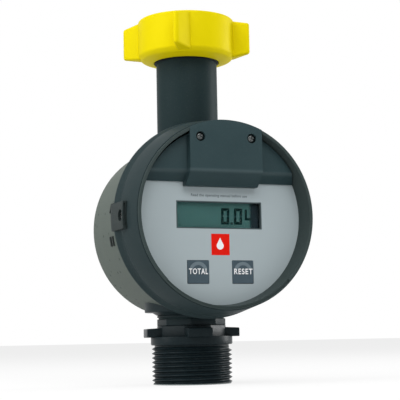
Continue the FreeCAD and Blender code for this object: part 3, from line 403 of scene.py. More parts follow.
    @staticmethod
    def join(name: str, parts: Sequence[Piece]) -> Piece:
        """Joins parts of one moulding or one casting into a piece.

        Args:
            name: name of the piece.
            parts: its parts; the first one takes the others in.

        Returns:
            The piece.
        """
        Bench.put_down()
        for part in parts:
            part.select_set(True)
        bpy.context.view_layer.objects.active = parts[0]
        bpy.ops.object.join()
        piece = bpy.context.object
        piece.name = name
        return piece

    @staticmethod
    def move_points(piece: Piece, move: Callable[[Vector], Vector]) -> None:
        """Moves every point of a piece.

        Args:
            piece: the piece.
            move: takes a point in mm and gives its new place in mm.
        """
        Bench.settle(piece)
        for point in piece.data.vertices:
            point.co = move(point.co / MM) * MM
        piece.data.update()

    @staticmethod
    def hand_over(piece: Piece, finish: Finish, body: str, slot: str, replaces: Sequence[str] = (),
                  smooth: float = 32.0) -> None:
        """Places, shades and dresses a finished piece and lets it ride on its body.

        Args:
            piece: the piece.
            finish: its surface finish.
            body: the moving body that it belongs to.
            slot: the record's material slot; not used.
            replaces: the plain nodes that it stands for.
            smooth: edges flatter than this shade smoothly, in degrees.
        """
        Bench.settle(piece)
        bpy.ops.object.shade_smooth_by_angle(angle=math.radians(smooth))
        piece.data.name = piece.name
        piece.data.materials.clear()
        piece.data.materials.append(finish.material())
        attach(piece, body)
        if replaces:
            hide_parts(*replaces)
        LOG.info("%s: %d faces on %s", piece.name, len(piece.data.polygons), body)


# ------------------------------------------------------------------------------------------ finishes


def map_range(tree: Tree, value: Socket, source: Pair = (0, 1), target: Pair = (0, 1),
              smooth: bool = False) -> Socket:
    """Turns one range of values into another.

    Args:
        tree: the node tree to add to.
        value: the socket with the value.
        source: the two ends of the value's range.
        target: what the two ends become.
        smooth: whether it eases in and out.

    Returns:
        The socket with the result.
    """
    node = tree.nodes.new("ShaderNodeMapRange")
    node.interpolation_type = "SMOOTHSTEP" if smooth else "LINEAR"
    for label, number in zip(("From Min", "From Max", "To Min", "To Max"), (*source, *target)):
        node.inputs[label].default_value = number
    tree.links.new(value, node.inputs["Value"])
    return node.outputs["Result"]


def reckon(tree: Tree, operation: str, first: Socket, second: Socket | float = 0.0) -> Socket:
    """Reckons with one value and a second value or number.

    Args:
        tree: the node tree to add to.
        operation: what is done, by Blender's name.
        first: the first value's socket.
        second: the second value's socket, or a number.

    Returns:
        The socket with the result.
    """
    node = tree.nodes.new("ShaderNodeMath")
    node.operation = operation
    tree.links.new(first, node.inputs[0])
    if isinstance(second, float):
        node.inputs[1].default_value = second
    else:
        tree.links.new(second, node.inputs[1])
    return node.outputs["Value"]


def laid_over(tree: Tree, under: Socket, over: Colour, share: Socket) -> Socket:
    """Lays a colour over another one.

    Args:
        tree: the node tree to add to.
        under: the colour below.
        over: the colour that is laid over it.
        share: how much of it shows, from 0 to 1.

    Returns:
        The socket with the mixed colour.
    """
    mix = tree.nodes.new("ShaderNodeMix")
    mix.data_type = "RGBA"
    mix.inputs["B"].default_value = (*over, 1)
    tree.links.new(share, mix.inputs["Factor"])
    tree.links.new(under, mix.inputs["A"])
    return mix.outputs["Result"]


def place_along(tree: Tree, where: Socket, axis: str) -> Socket:
    """The place along one axis, in metres."""
    split = tree.nodes.new("ShaderNodeSeparateXYZ")
    tree.links.new(where, split.inputs["Vector"])
    return split.outputs[axis]


@dataclass(frozen=True)
class Finish:
    """A surface finish with two tones, a fine grain and slight unevenness of gloss."""

    name: str
    tone: Colour
    second_tone: Colour
    roughness: float = 0.45
    roughness_spread: float = 0.08
    patch_size: float = 9.0
    grain_size: float = 0.35
    grain_depth: float = 0.02
    metallic: float = 0.0
    specular: float = 0.5
    relief: float = 0.6

    def material(self) -> bpy.types.Material:
        """Gives the material of this finish, made once.

        Returns:
            The material.
        """
        found = bpy.data.materials.get(self.name)
        if found is not None:
            return found
        made = bpy.data.materials.new(self.name)
        made.use_nodes = True
        tree = made.node_tree
        shader = tree.nodes["Principled BSDF"]
        shader.inputs["Metallic"].default_value = self.metallic
        shader.inputs["Specular IOR Level"].default_value = self.specular
        where = tree.nodes.new("ShaderNodeTexCoord").outputs["Object"]
        patches = self._noise(tree, where, self.patch_size, 4.0)
        grain = self._noise(tree, where, self.grain_size, 2.0)
        tones = tree.nodes.new("ShaderNodeMix")
        tones.data_type = "RGBA"
        tones.inputs["A"].default_value = (*self.tone, 1)
        tones.inputs["B"].default_value = (*self.second_tone, 1)
        tree.links.new(patches.outputs["Fac"], tones.inputs["Factor"])
        tree.links.new(self.colour_socket(tree, tones.outputs["Result"], where), shader.inputs["Base Color"])
        gloss = (self.roughness - self.roughness_spread, self.roughness + self.roughness_spread)
        tree.links.new(map_range(tree, patches.outputs["Fac"], target=gloss), shader.inputs["Roughness"])
        relief = tree.nodes.new("ShaderNodeBump")
        relief.inputs["Strength"].default_value = self.relief
        relief.inputs["Distance"].default_value = self.grain_depth * MM
        tree.links.new(self.height_socket(tree, grain.outputs["Fac"], where), relief.inputs["Height"])
        tree.links.new(relief.outputs["Normal"], shader.inputs["Normal"])
        self.extra(shader)
        return made

    @staticmethod
    def _noise(tree: Tree, where: Socket, size: float, detail: float) -> bpy.types.Node:
        """Adds a noise whose grains are about a size, in mm."""
        noise = tree.nodes.new("ShaderNodeTexNoise")
        noise.inputs["Scale"].default_value = 1 / (size * MM)
        noise.inputs["Detail"].default_value = detail
        tree.links.new(where, noise.inputs["Vector"])
        return noise

    def colour_socket(self, tree: Tree, tones: Socket, where: Socket) -> Socket:
        """The socket that colours the surface; a finish with a pattern changes it."""
        return tones

    def height_socket(self, tree: Tree, grain: Socket, where: Socket) -> Socket:
        """The socket that gives the relief; a finish with a texture changes it."""
        return grain

    def extra(self, shader: bpy.types.Node) -> None:
        """Anything else that a finish sets on its shader."""


@dataclass(frozen=True)
class SparkMoulding(Finish):
    """Dark moulding from a spark-eroded mould, with pale dust in its grain."""

    dust: Colour = (0.2, 0.22, 0.21)
    dust_share: float = 0.2
    dust_size: float = 0.9
    dust_from: float = 0.52
    dust_to: float = 0.86

    def colour_socket(self, tree: Tree, tones: Socket, where: Socket) -> Socket:
        """Lets a little dust show in the grain."""
        specks = self._noise(tree, where, self.dust_size, 6.0)
        ramp = tree.nodes.new("ShaderNodeValToRGB")
        ramp.color_ramp.elements[0].position = self.dust_from
        ramp.color_ramp.elements[1].position = self.dust_to
        ramp.color_ramp.elements[0].color = (0, 0, 0, 1)
        ramp.color_ramp.elements[1].color = (self.dust_share,) * 3 + (1,)
        tree.links.new(specks.outputs["Fac"], ramp.inputs["Fac"])
        return laid_over(tree, tones, self.dust, ramp.outputs["Color"])


@dataclass(frozen=True)
class PittedMoulding(SparkMoulding):
    """Spark-eroded moulding with a few small dark pits."""

    pit_spacing: float = 6.0
    pit_share: float = 0.1
    pit_tone: Colour = (0.012, 0.016, 0.016)
    pit_darkness: float = 0.75

    def colour_socket(self, tree: Tree, tones: Socket, where: Socket) -> Socket:
        """Darkens the pits."""
        dusty = super().colour_socket(tree, tones, where)
        cells = tree.nodes.new("ShaderNodeTexVoronoi")
        cells.inputs["Scale"].default_value = 1 / (self.pit_spacing * MM)
        tree.links.new(where, cells.inputs["Vector"])
        rim = (self.pit_share * 0.6, self.pit_share * 1.5)
        edge = map_range(tree, cells.outputs["Distance"], rim, (self.pit_darkness, 0.0))
        return laid_over(tree, dusty, self.pit_tone, edge)


@dataclass(frozen=True)
class CreasedMoulding(SparkMoulding):
    """Moulding with a painted highlight, paler along a level crease."""

    crease: float = 105.6
    crease_width: float = 1.5
    crease_share: float = 0.6
    # Colour of the painted highlight along the crease.
    crease_highlight: Colour = (0.06, 0.088, 0.094)

    def colour_socket(self, tree: Tree, tones: Socket, where: Socket) -> Socket:
        """Paints a highlight: pales the moulding near the crease's height."""
        dusty = super().colour_socket(tree, tones, where)
        offset = reckon(tree, "SUBTRACT", place_along(tree, where, "Z"), self.crease * MM)
        away = reckon(tree, "ABSOLUTE", offset)
        fade = map_range(tree, away, (0, self.crease_width * MM), (self.crease_share, 0.0), smooth=True)
        return laid_over(tree, dusty, self.crease_highlight, fade)


@dataclass(frozen=True)
class DisplayGlass(Finish):
    """Grey-green display that darkens towards its right end."""

    dark: Colour = (0.009, 0.018, 0.023)
    dark_from: float = 16.8
    dark_to: float = 19.0

    def colour_socket(self, tree: Tree, tones: Socket, where: Socket) -> Socket:
        """Fades the display into its dark end."""
        span = (self.dark_from * MM, self.dark_to * MM)
        fade = map_range(tree, place_along(tree, where, "X"), span, smooth=True)
        return laid_over(tree, tones, self.dark, fade)


@dataclass(frozen=True)
class ClearPlate(Finish):
    """Clear window plate that bends light only a little."""

    refraction: float = 1.1

    def extra(self, shader: bpy.types.Node) -> None:
        """Lets light through."""
        shader.inputs["Transmission Weight"].default_value = 1.0
        shader.inputs["IOR"].default_value = self.refraction


@dataclass(frozen=True)
class TurnedMetal(Finish):
    """Metal with the fine rings that turning leaves."""

    ring_pitch: float = 0.25
    ring_unevenness: float = 1.5

    def height_socket(self, tree: Tree, grain: Socket, where: Socket) -> Socket:
        """Takes fine rings along the length in place of the grain."""
        rings = tree.nodes.new("ShaderNodeTexWave")
        rings.bands_direction = "Z"
        rings.inputs["Scale"].default_value = 1 / (self.ring_pitch * MM * 20)
        rings.inputs["Distortion"].default_value = self.ring_unevenness
        tree.links.new(where, rings.inputs["Vector"])
        return rings.outputs["Fac"]


class Finishes:
    """All finishes of the meter."""

    BODY = PittedMoulding("housing_moulding", (0.082, 0.101, 0.09), (0.104, 0.123, 0.108), 0.55, 0.06,
                          grain_depth=0.05, specular=0.05)
    CLIP = SparkMoulding("clip_moulding", (0.016, 0.024, 0.024), (0.025, 0.034, 0.034), 0.5, 0.06,
                         grain_depth=0.04, dust_share=0.08, specular=0.06)
    TUBE = SparkMoulding("tube_moulding", (0.014, 0.026, 0.028), (0.018, 0.03, 0.032), 0.45, 0.05,
                         grain_depth=0.02, dust_share=0.04, specular=0.03)
    NECK = SparkMoulding("neck_moulding", (0.012, 0.021, 0.024), (0.017, 0.027, 0.03), 0.4, 0.05,
                         grain_depth=0.02, dust_share=0.05, specular=0.08)
    # Pale tone for the outlet's lower end edge: a painted highlight for the light that its chamfer catches
    # from below.
    END_EDGE_HIGHLIGHT = Finish("end_edge_painted_highlight", (0.2, 0.23, 0.23), (0.28, 0.31, 0.31), 0.5, specular=0.1)
    RING = SparkMoulding("display_housing_moulding", (0.02, 0.033, 0.036), (0.027, 0.04, 0.042), 0.46, 0.06,
                         grain_depth=0.03, dust_share=0.05, specular=0.03)
    # Lighter than the ring's tone: a painted highlight for the light that the bezel's front band catches.
    BEZEL = SparkMoulding("bezel_moulding", (0.036, 0.05, 0.05), (0.042, 0.058, 0.057), 0.44, 0.05,
                          grain_depth=0.03, dust_share=0.05, specular=0.05)
    # The cover's finish paints a highlight along the crease of its tongue and side fields.
    COVER = CreasedMoulding("cover_moulding", (0.022, 0.043, 0.048), (0.027, 0.05, 0.055), 0.42, 0.05,
                            grain_depth=0.03, dust_share=0.04, specular=0.12)
    NIPPLE = SparkMoulding("nipple_moulding", (0.006, 0.013, 0.016), (0.01, 0.018, 0.021), 0.34, 0.06,
                           grain_depth=0.02, dust_share=0.05, specular=0.1)
    NUT = Finish("nut_moulding", (0.67, 0.555, 0.001), (0.71, 0.585, 0.002), 0.45, 0.06, 22.0, 0.5, 0.03,
                 specular=0.03)
    # Dark tone of the raised position bars: painted shade for the shadows round them.
    POSITION_MARK_SHADE = Finish("position_mark_painted_shade", (0.018, 0.024, 0.024), (0.03, 0.036, 0.035), 0.6, specular=0.1)
    SMALL_PRINT = Finish("small_print", (0.09, 0.11, 0.12), (0.11, 0.13, 0.14), 0.5, specular=0.1)
    BUSHING = Finish("bushing_moulding", (0.008, 0.01, 0.011), (0.013, 0.015, 0.016), 0.5, specular=0.05)
    RUBBER = Finish("seal_rubber", (0.012, 0.012, 0.012), (0.02, 0.02, 0.02), 0.7, 0.1, 5.0, 0.2, 0.04)
    INSERT = Finish("insert_plastic", (0.58, 0.58, 0.53), (0.66, 0.65, 0.6), 0.38, 0.06, 6.0, 0.3, 0.01)
    INNER = Finish("inner_moulding", (0.012, 0.016, 0.018), (0.018, 0.022, 0.024), 0.55, specular=0.1)
    FILM = Finish("face_film", (0.42, 0.525, 0.575), (0.44, 0.545, 0.595), 0.36, 0.04, 30.0, 0.22, 0.012,
                  specular=0.25)
    MARK = Finish("mark_print", (0.68, 0.008, 0.002), (0.72, 0.01, 0.003), 0.4, 0.04, specular=0.1)
    PRINT = Finish("white_print", (0.8, 0.82, 0.83), (0.88, 0.89, 0.9), 0.4, 0.04)
    KEY = Finish("key_film", (0.056, 0.083, 0.102), (0.066, 0.096, 0.116), 0.4, 0.05, 5.0, 0.25, 0.015,
                 specular=0.1)
    KEY_EDGE = Finish("key_ridge", (0.13, 0.17, 0.195), (0.155, 0.2, 0.225), 0.4, 0.05, specular=0.1)
    WINDOW_RIM = Finish("window_rim", (0.06, 0.082, 0.088), (0.075, 0.1, 0.105), 0.4, 0.05, specular=0.1)
    LENS = ClearPlate("lens_plate", (1, 1, 1), (1, 1, 1), 0.04, 0.02, grain_depth=0.001)
    DISPLAY = DisplayGlass("display_glass", (0.038, 0.1, 0.096), (0.046, 0.118, 0.112), 0.4, 0.05,
                           specular=0.02)
    DIGIT = Finish("display_digit", (0.003, 0.012, 0.012), (0.005, 0.017, 0.016), 0.4, 0.05, specular=0.0)
    SCREW = TurnedMetal("screw_metal", (0.08, 0.09, 0.09), (0.15, 0.16, 0.16), 0.3, 0.08, 2.0, metallic=1.0)
    SPRING = TurnedMetal("spring_metal", (0.6, 0.6, 0.58), (0.7, 0.7, 0.68), 0.25, 0.08, 2.0, metallic=1.0)
    MAGNET = Finish("magnet_nickel", (0.5, 0.5, 0.5), (0.6, 0.6, 0.6), 0.25, 0.05, metallic=1.0)
    ELASTOMER = Finish("strip_elastomer", (0.2, 0.2, 0.2), (0.3, 0.3, 0.3), 0.6)
    BOARD = Finish("board_laminate", (0.012, 0.09, 0.03), (0.02, 0.12, 0.045), 0.3, 0.05, 3.0)
    CELL = Finish("cell_sleeve", (0.1, 0.12, 0.16), (0.12, 0.14, 0.19), 0.3, 0.05)


# ------------------------------------------------------------------------------------------ threads


@dataclass
class PipeThread:
    """A parallel pipe thread of 55 degrees, right-handed."""

    crest: float = 20.955
    root: float = 19.476
    pitch: float = 2.309
    steps: int = 120

    def surface(self, name: str, low: float, high: float) -> Piece:
        """Makes the threaded surface between two heights.

        Args:
            name: name of the piece.
            low: lower end, in mm.
            high: upper end, in mm.

        Returns:
            The open threaded surface, in object mode.
        """
        depth = self.crest - self.root
        tooth = ((0.0, 0.0), (0.09, 0.05), (0.41, 0.93), (0.5, 1.0), (0.59, 0.93), (0.91, 0.05))
        first = math.floor(low / self.pitch) - 2
        last = math.ceil(high / self.pitch) + 1
        section = [(self.root + depth * share, (turn + part) * self.pitch)
                   for turn in range(first, last + 1) for part, share in tooth]
        piece = Bench.wire(name, [Axis.FLOW.place(r, h, ORIGIN) for r, h in section])
        Bench.settle(piece)
        winding = piece.modifiers.new("winding", "SCREW")
        winding.axis = "Z"
        winding.angle = math.tau
        winding.screw_offset = self.pitch * MM
        winding.steps = self.steps
        winding.render_steps = self.steps
        winding.use_merge_vertices = True
        winding.merge_threshold = 0.000005
        winding.use_smooth_shade = True
        bpy.ops.object.modifier_apply(modifier=winding.name)
        Bench.slice_off(piece, Vector((0, 0, low)), Vector((0, 0, -1)), fill=False)
        Bench.slice_off(piece, Vector((0, 0, high)), Vector((0, 0, 1)), fill=False)
        return piece

    @staticmethod
    def face(piece: Piece, outwards: bool) -> None:
        """Turns the thread's faces away from the axis, or towards it."""
        away = sum(face.area * face.normal.xy.dot(face.center.xy) for face in piece.data.polygons)
        if (away > 0) != outwards:
            with Bench.edited(piece):
                bpy.ops.mesh.flip_normals()


# ------------------------------------------------------------------------------------------ outlet


@dataclass
class OutletNipple:
    """Threaded outlet with a shoulder, four flats and four spanner lugs."""

    bore: float = BORE
    thread: PipeThread = field(default_factory=PipeThread)
    thread_length: float = 19.0
    thread_low: float = 0.55
    thread_floor: float = 19.46
    chamfer_radius: float = 20.2
    chamfer_low: float = 0.4
    chamfer_slope: float = 1.05
    run_out: float = 0.4
    run_out_slope: float = 1.9
    end_radius: float = 20.35
    end_high: float = 0.75
    core_radius: float = 19.45
    core_low: float = 1.2
    # Size of the pale ring that paints a highlight on the lower end edge.
    highlight_inner: float = 19.5
    highlight_outer: float = 20.42
    highlight_high: float = 0.5
    shoulder_low: float = 20.3
    shoulder_high: float = 24.7
    shoulder_radius: float = 21.4
    top: float = 30.3
    spigot_top: float = 41.8
    spigot_radius: float = 14.6
    flat: float = 16.6
    corner: float = 18.0
    lug_reach: float = 24.5
    lug_width: float = 12.9
    lug_height: float = 4.7
    lug_foot: float = 14.2
    lug_fall: float = 0.5
    turned: float = -11.0

    def core(self) -> Piece:
        """The turned core with bore, shoulder and spigot."""
        section = rounded([
            Corner(self.bore, 0.5, 0.2), Corner(self.bore + 0.6, 0.0, 0.2),
            Corner(self.end_radius, 0.0, 0.3), Corner(self.end_radius, self.end_high, 0.3),
            Corner(self.core_radius, self.core_low), Corner(self.core_radius, self.shoulder_low, 0.2),
            Corner(self.shoulder_radius, self.shoulder_low, 0.8),
            Corner(self.shoulder_radius, self.shoulder_high, 0.35),
            Corner(self.spigot_radius, self.shoulder_high), Corner(self.spigot_radius, self.spigot_top),
            Corner(self.bore, self.spigot_top)], closed=True)
        return Bench.turn("nipple_core", section, Axis.FLOW, steps=192)

    def winding(self) -> Piece:
        """The outside thread with its chamfered start and run-out."""
        piece = self.thread.surface("nipple_winding", self.thread_low, self.thread_length + 0.5)
        PipeThread.face(piece, outwards=True)
        run_out = self.thread_length - self.run_out

        def trim(point: Vector) -> Vector:
            """Keeps the thread inside its chamfer and run-out."""
            limit = self.chamfer_radius + max(0.0, point.z - self.chamfer_low) * self.chamfer_slope
            if point.z > run_out:
                limit = min(limit, self.thread.crest - (point.z - run_out) * self.run_out_slope)
            share = min(1.0, max(limit, self.thread_floor) / point.xy.length)
            return Vector((point.x * share, point.y * share, point.z))

        Bench.move_points(piece, trim)
        return piece

    def spanner_body(self) -> Piece:
        """The body with four flats."""
        body = Bench.rod("nipple_flats", self.corner, Vector((0, 0, self.shoulder_high - 0.5)), Axis.FLOW,
                         self.top - self.shoulder_high + 0.5, sides=160)
        for k in range(4):
            turn = math.radians(45 + 90 * k)
            normal = Vector((math.cos(turn), math.sin(turn), 0))
            Bench.slice_off(body, normal * self.flat, normal)
        Bench.soften(body, 0.3, 3, 20)
        Bench.bore_out(body, self.bore + 1)
        return body

    def lugs(self) -> list[Piece]:
        """The four lugs round the body."""
        half = self.lug_width / 2
        first = Bench.block("nipple_lug", Vector((-half, -self.lug_reach, self.shoulder_high - 0.3)),
                            Vector((half, -self.lug_foot, self.shoulder_high + self.lug_height)))

        def slope(point: Vector) -> Vector:
            """Lets the top fall towards the tip."""
            at_tip = point.z > self.shoulder_high + 1 and point.y < -self.shoulder_radius
            return point - Vector((0, 0, self.lug_fall if at_tip else 0))

        Bench.move_points(first, slope)
        Bench.soften(first, 0.45, 4)
        return Bench.four_round(first)

    def build(self) -> None:
        """Makes the nipple."""
        parts = [self.core(), self.winding(), self.spanner_body()] + self.lugs()
        piece = Bench.join("outlet_nipple_moulding", parts)
        Bench.rotate_about_flow(piece, self.turned)
        Bench.hand_over(piece, Finishes.NIPPLE, "meter", "nipple_plastic", ["outlet_nipple"], smooth=28)
        # A thin pale ring on the lower end: a painted highlight along the end edge.
        edge = Bench.turn("nipple_end_edge", rounded([
            Corner(self.highlight_inner, 0.02), Corner(self.highlight_outer - 0.17, 0.02, 0.1),
            Corner(self.highlight_outer, 0.2, 0.1), Corner(self.highlight_outer, self.highlight_high, 0.08),
            Corner(self.highlight_inner, self.highlight_high)],
            closed=True), Axis.FLOW, steps=192)
        Bench.hand_over(edge, Finishes.END_EDGE_HIGHLIGHT, "meter", "nipple_plastic", smooth=28)


# ------------------------------------------------------------------------------------------ flow body


@dataclass
class FlowBody:
    """Inlet tube, drum and outlet neck: one moulding, made as four pieces for their finishes."""

    drum_radius: float = 46.0
    drum_z: float = 81.5
    drum_front: float = -27.7
    drum_rear: float = 24.5
    drum_bore: float = 15.0
    edge: float = 2.0
    panel_radius: float = 38.0
    panel_depth: float = 0.6
    tube_radius: float = 16.25
    tube_top: float = 178.6
    bore: float = BORE
    insert_bore: float = 13.5
    insert_top: float = 104.3
    neck_low: float = 30.3
    octagon_height: float = 3.5
    octagon: float = 18.0
    flat_z: float = 37.6
    foot_radius: float = 16.0
    inside_radius: float = 17.2
    inside_top: float = 120.0
    guide_seat: float = 14.7
    guide_top: float = 41.9
    ring: Pair = (16.5, 17.9)
    ring_low: float = 34.6
    ring_high: float = 35.75
    neck_bore: float = 15.2
    pad_low: float = 35.9
    pad_foot: float = 18.2
    pad_slope: float = 20.6
    pad_z: float = 37.4
    pad_radius: float = 24.4
    pad_top: float = 42.4
    fillet: float = 2.2
    mark_heights: Pair = (90.6, 73.6)
    mark_y: float = -9.6
    mark_pitch: float = 3.6
    mark_width: float = 1.4
    mark_half: float = 2.5
    mark_rise: float = 0.7

    def drum(self) -> Piece:
        """The drum with rounded rear edge and sunk rear panel."""
        section = rounded([
            Corner(0, self.drum_front), Corner(self.drum_radius, self.drum_front),
            Corner(self.drum_radius, self.drum_rear, self.edge),
            Corner(self.panel_radius, self.drum_rear, 0.4),
            Corner(self.panel_radius - 0.4, self.drum_rear - self.panel_depth, 0.3),
            Corner(0, self.drum_rear - self.panel_depth)], steps=6)
        drum = Bench.turn("drum", section, Axis.DISPLAY, Vector((0, 0, self.drum_z)), steps=240)
        Bench.bore_out(drum, self.drum_bore)
        Bench.slice_off(drum, Vector((0, 0, self.flat_z)), Vector((0, 0, -1)))
        return drum

    def tube(self) -> Piece:
        """The flow tube through the drum."""
        section = rounded([
            Corner(self.tube_radius, self.inside_top), Corner(self.tube_radius, self.tube_top, 0.5),
            Corner(self.bore, self.tube_top, 0.5), Corner(self.bore, self.insert_top),
            Corner(self.insert_bore, self.insert_top), Corner(self.insert_bore, self.guide_top),
            Corner(self.guide_seat, self.guide_top), Corner(self.guide_seat, self.neck_low),
            Corner(self.foot_radius, self.neck_low),
            Corner(self.foot_radius, self.neck_low + self.octagon_height),
            Corner(self.inside_radius, self.neck_low + self.octagon_height),
            Corner(self.inside_radius, self.inside_top)], closed=True)
        return Bench.turn("tube", section, Axis.FLOW, steps=160)

    def collar(self) -> Piece:
        """The fillet between tube and drum, laid on the drum's curve."""
        arc = [(self.tube_radius + self.fillet * (1 - math.sin(a)), self.fillet * (1 - math.cos(a)))
               for a in (math.radians(15 * k) for k in range(7))]
        inner, root = self.tube_radius - 0.6, -1.5
        section = [(inner, root), (arc[0][0], root)] + arc + [(inner, self.fillet), (inner, root)]
        piece = Bench.turn("collar", section, Axis.FLOW)
        return self.saddle(piece)

    def saddle(self, piece: Piece) -> Piece:
        """Lays a ring made at height zero on the drum's upper side."""
        def lay(point: Vector) -> Vector:
            """Lifts a point by the drum's height there."""
            lift = self.drum_z + math.sqrt(max(0.0, self.drum_radius ** 2 - point.x ** 2))
            return Vector((point.x, point.y, point.z + lift))

        Bench.move_points(piece, lay)
        return piece

    def neck(self) -> list[Piece]:
        """Octagon, ring and pad under the drum."""
        octagon = Bench.rod("neck_octagon", self.octagon, Vector((0, 0, self.neck_low + 0.05)), Axis.FLOW,
                            self.octagon_height, sides=8)
        Bench.rotate_about_flow(octagon, 180 / 8)
        Bench.soften(octagon, 0.35, 3)
        Bench.bore_out(octagon, self.neck_bore)
        inner, outer = self.ring
        ring = Bench.turn("neck_ring", rounded([
            Corner(inner, self.ring_low), Corner(outer, self.ring_low, 0.35),
            Corner(outer, self.ring_high, 0.35), Corner(inner, self.ring_high)], closed=True), Axis.FLOW)
        pad = Bench.turn("neck_pad", rounded([
            Corner(self.neck_bore, self.pad_low), Corner(self.pad_foot, self.pad_low, 0.2),
            Corner(self.pad_slope, self.pad_z, 0.3), Corner(self.pad_radius, self.pad_z, 0.4),
            Corner(self.pad_radius, self.pad_top),
            Corner(self.neck_bore, self.pad_top)], closed=True), Axis.FLOW)
        return [octagon, ring, pad]

    def marks(self) -> list[Piece]:
        """Raised position bars on the drum beside the clips."""
        made = []
        for side in (-1, 1):
            for height in self.mark_heights:
                reach = math.sqrt(self.drum_radius ** 2 - (height - self.drum_z) ** 2)
                for step in range(2):
                    y = self.mark_y + self.mark_pitch * step
                    bar = Bench.block("mark", Vector((-0.8, y, -self.mark_half)),
                                      Vector((self.mark_rise, y + self.mark_width, self.mark_half)))
                    Bench.soften(bar, 0.18, 2)
                    lean = math.asin((height - self.drum_z) / self.drum_radius)
                    bar.data.transform(Matrix.Translation(Vector((reach, 0, height)) * MM)
                                       @ Matrix.Rotation(-lean, 4, "Y"))
                    if side < 0:
                        made.append(Bench.twin(bar, "mark", Matrix.Diagonal((-1, 1, 1, 1))))
                        bpy.data.objects.remove(bar)
                    else:
                        made.append(bar)
        return made

    def build(self) -> None:
        """Makes the body."""
        octagon, ring, pad = self.neck()
        tube = self.tube()
        parts = [self.drum(), self.collar()]
        neck = Bench.join("flow_neck_moulding", [octagon, ring, pad])
        Bench.hand_over(neck, Finishes.NECK, "meter", "black_moulding", smooth=28)
        # The raised bars get a dark tone, painted shade for the shadows round them.
        marks = Bench.join("position_marks", self.marks())
        Bench.hand_over(marks, Finishes.POSITION_MARK_SHADE, "meter", "black_moulding")
        piece = Bench.join("flow_body_moulding", parts)
        Bench.hand_over(piece, Finishes.BODY, "meter", "black_moulding", ["flow_housing"], smooth=28)
        tube.name = "flow_tube_moulding"
        Bench.hand_over(tube, Finishes.TUBE, "meter", "black_moulding", smooth=28)


# ------------------------------------------------------------------------------------------ inlet


@dataclass
class UnionNut:
    """Winged union nut with an inside thread."""

    low: float = 172.8
    lip_low: float = 170.7
    high: float = 193.7
    radius: float = 25.8
    rim: float = 24.0
    hole: float = 17.4
    floor: float = 3.5
    relief: float = 20.6
    relief_top: float = 180.9
    thread_gap: float = 0.25
    entry: float = 1.6
    entry_slope: float = 1.2
    run_out_slope: float = 3.0
    wing_root: float = 22.6
    wing_inset: float = 0.4
    wing_foot: float = 0.6
    wing_radius: float = 34.4
    wing_tip: float = 4.0
    wing_slope: float = 13.0
    wing_drop: float = 2.6
    wing_rise: float = 1.8
    turned: float = -123.0
    thread: PipeThread = field(default_factory=PipeThread)

    def body(self) -> Piece:
        """The round body."""
        root = self.thread.crest + self.thread_gap
        section = rounded([
            Corner(self.hole, self.lip_low, 0.4), Corner(self.rim, self.low - 0.5, 3.0),
            Corner(self.radius, self.low + 1.6, 2.4), Corner(self.radius, self.high, 1.3),
            Corner(root, self.high, 0.4), Corner(root, self.relief_top),
            Corner(self.relief, self.relief_top), Corner(self.relief, self.low + self.floor),
            Corner(self.hole, self.low + self.floor)], closed=True)
        return Bench.turn("nut_body", section, Axis.FLOW, steps=192)

    def winding(self) -> Piece:
        """The inside thread."""
        piece = self.thread.surface("nut_winding", self.relief_top, self.high - 0.4)
        PipeThread.face(piece, outwards=False)
        entry = self.high - self.entry

        def trim(point: Vector) -> Vector:
            """Opens the thread into its coned entry and runs it out below."""
            need = self.thread.root + max(0.0, point.z - entry) * self.entry_slope
            need = max(need, self.thread.crest - max(0.0, point.z - self.relief_top) * self.run_out_slope)
            share = max(1.0, min(need, self.thread.crest + 0.2) / point.xy.length)
            return Vector((point.x * share, point.y * share, point.z))

        Bench.move_points(piece, trim)
        return piece

    def wing(self) -> Piece:
        """One wing with a steep and a sloping flank."""
        def at(radius: float, degrees: float) -> Vector:
            """A corner of the wing's plan."""
            turn = math.radians(degrees)
            return Vector((radius * math.cos(turn), radius * math.sin(turn), self.low + self.wing_inset))

        foot = self.wing_tip + self.wing_slope
        outline = [at(self.wing_root, 0), at(self.wing_radius, 0),
                   at(self.wing_radius + 0.02, self.wing_tip / 2), at(self.wing_radius, self.wing_tip),
                   at(self.radius - 0.05, foot), at(self.wing_root, foot)]
        piece = Bench.prism("nut_wing", outline, Vector((0, 0, self.high - self.low - 2 * self.wing_inset)))
        middle = (self.low + self.high) / 2

        def slope(point: Vector) -> Vector:
            """Lets the top fall and the underside rise towards the tip."""
            share = max(0.0, (point.xy.length - self.rim) / (self.wing_radius - self.rim))
            if point.z < middle:
                return point + Vector((0, 0, self.wing_rise * share - self.wing_foot))
            return point - Vector((0, 0, (self.wing_drop - self.wing_inset) * share))

        Bench.move_points(piece, slope)
        Bench.soften(piece, 1.5, 6, 25)
        return piece

    def build(self) -> None:
        """Makes the nut."""
        wings = Bench.four_round(self.wing())
        piece = Bench.join("union_nut_moulding", [self.body(), self.winding()] + wings)
        Bench.rotate_about_flow(piece, self.turned)
        Bench.hand_over(piece, Finishes.NUT, "nut", "yellow_plastic", ["union_nut"], smooth=30)


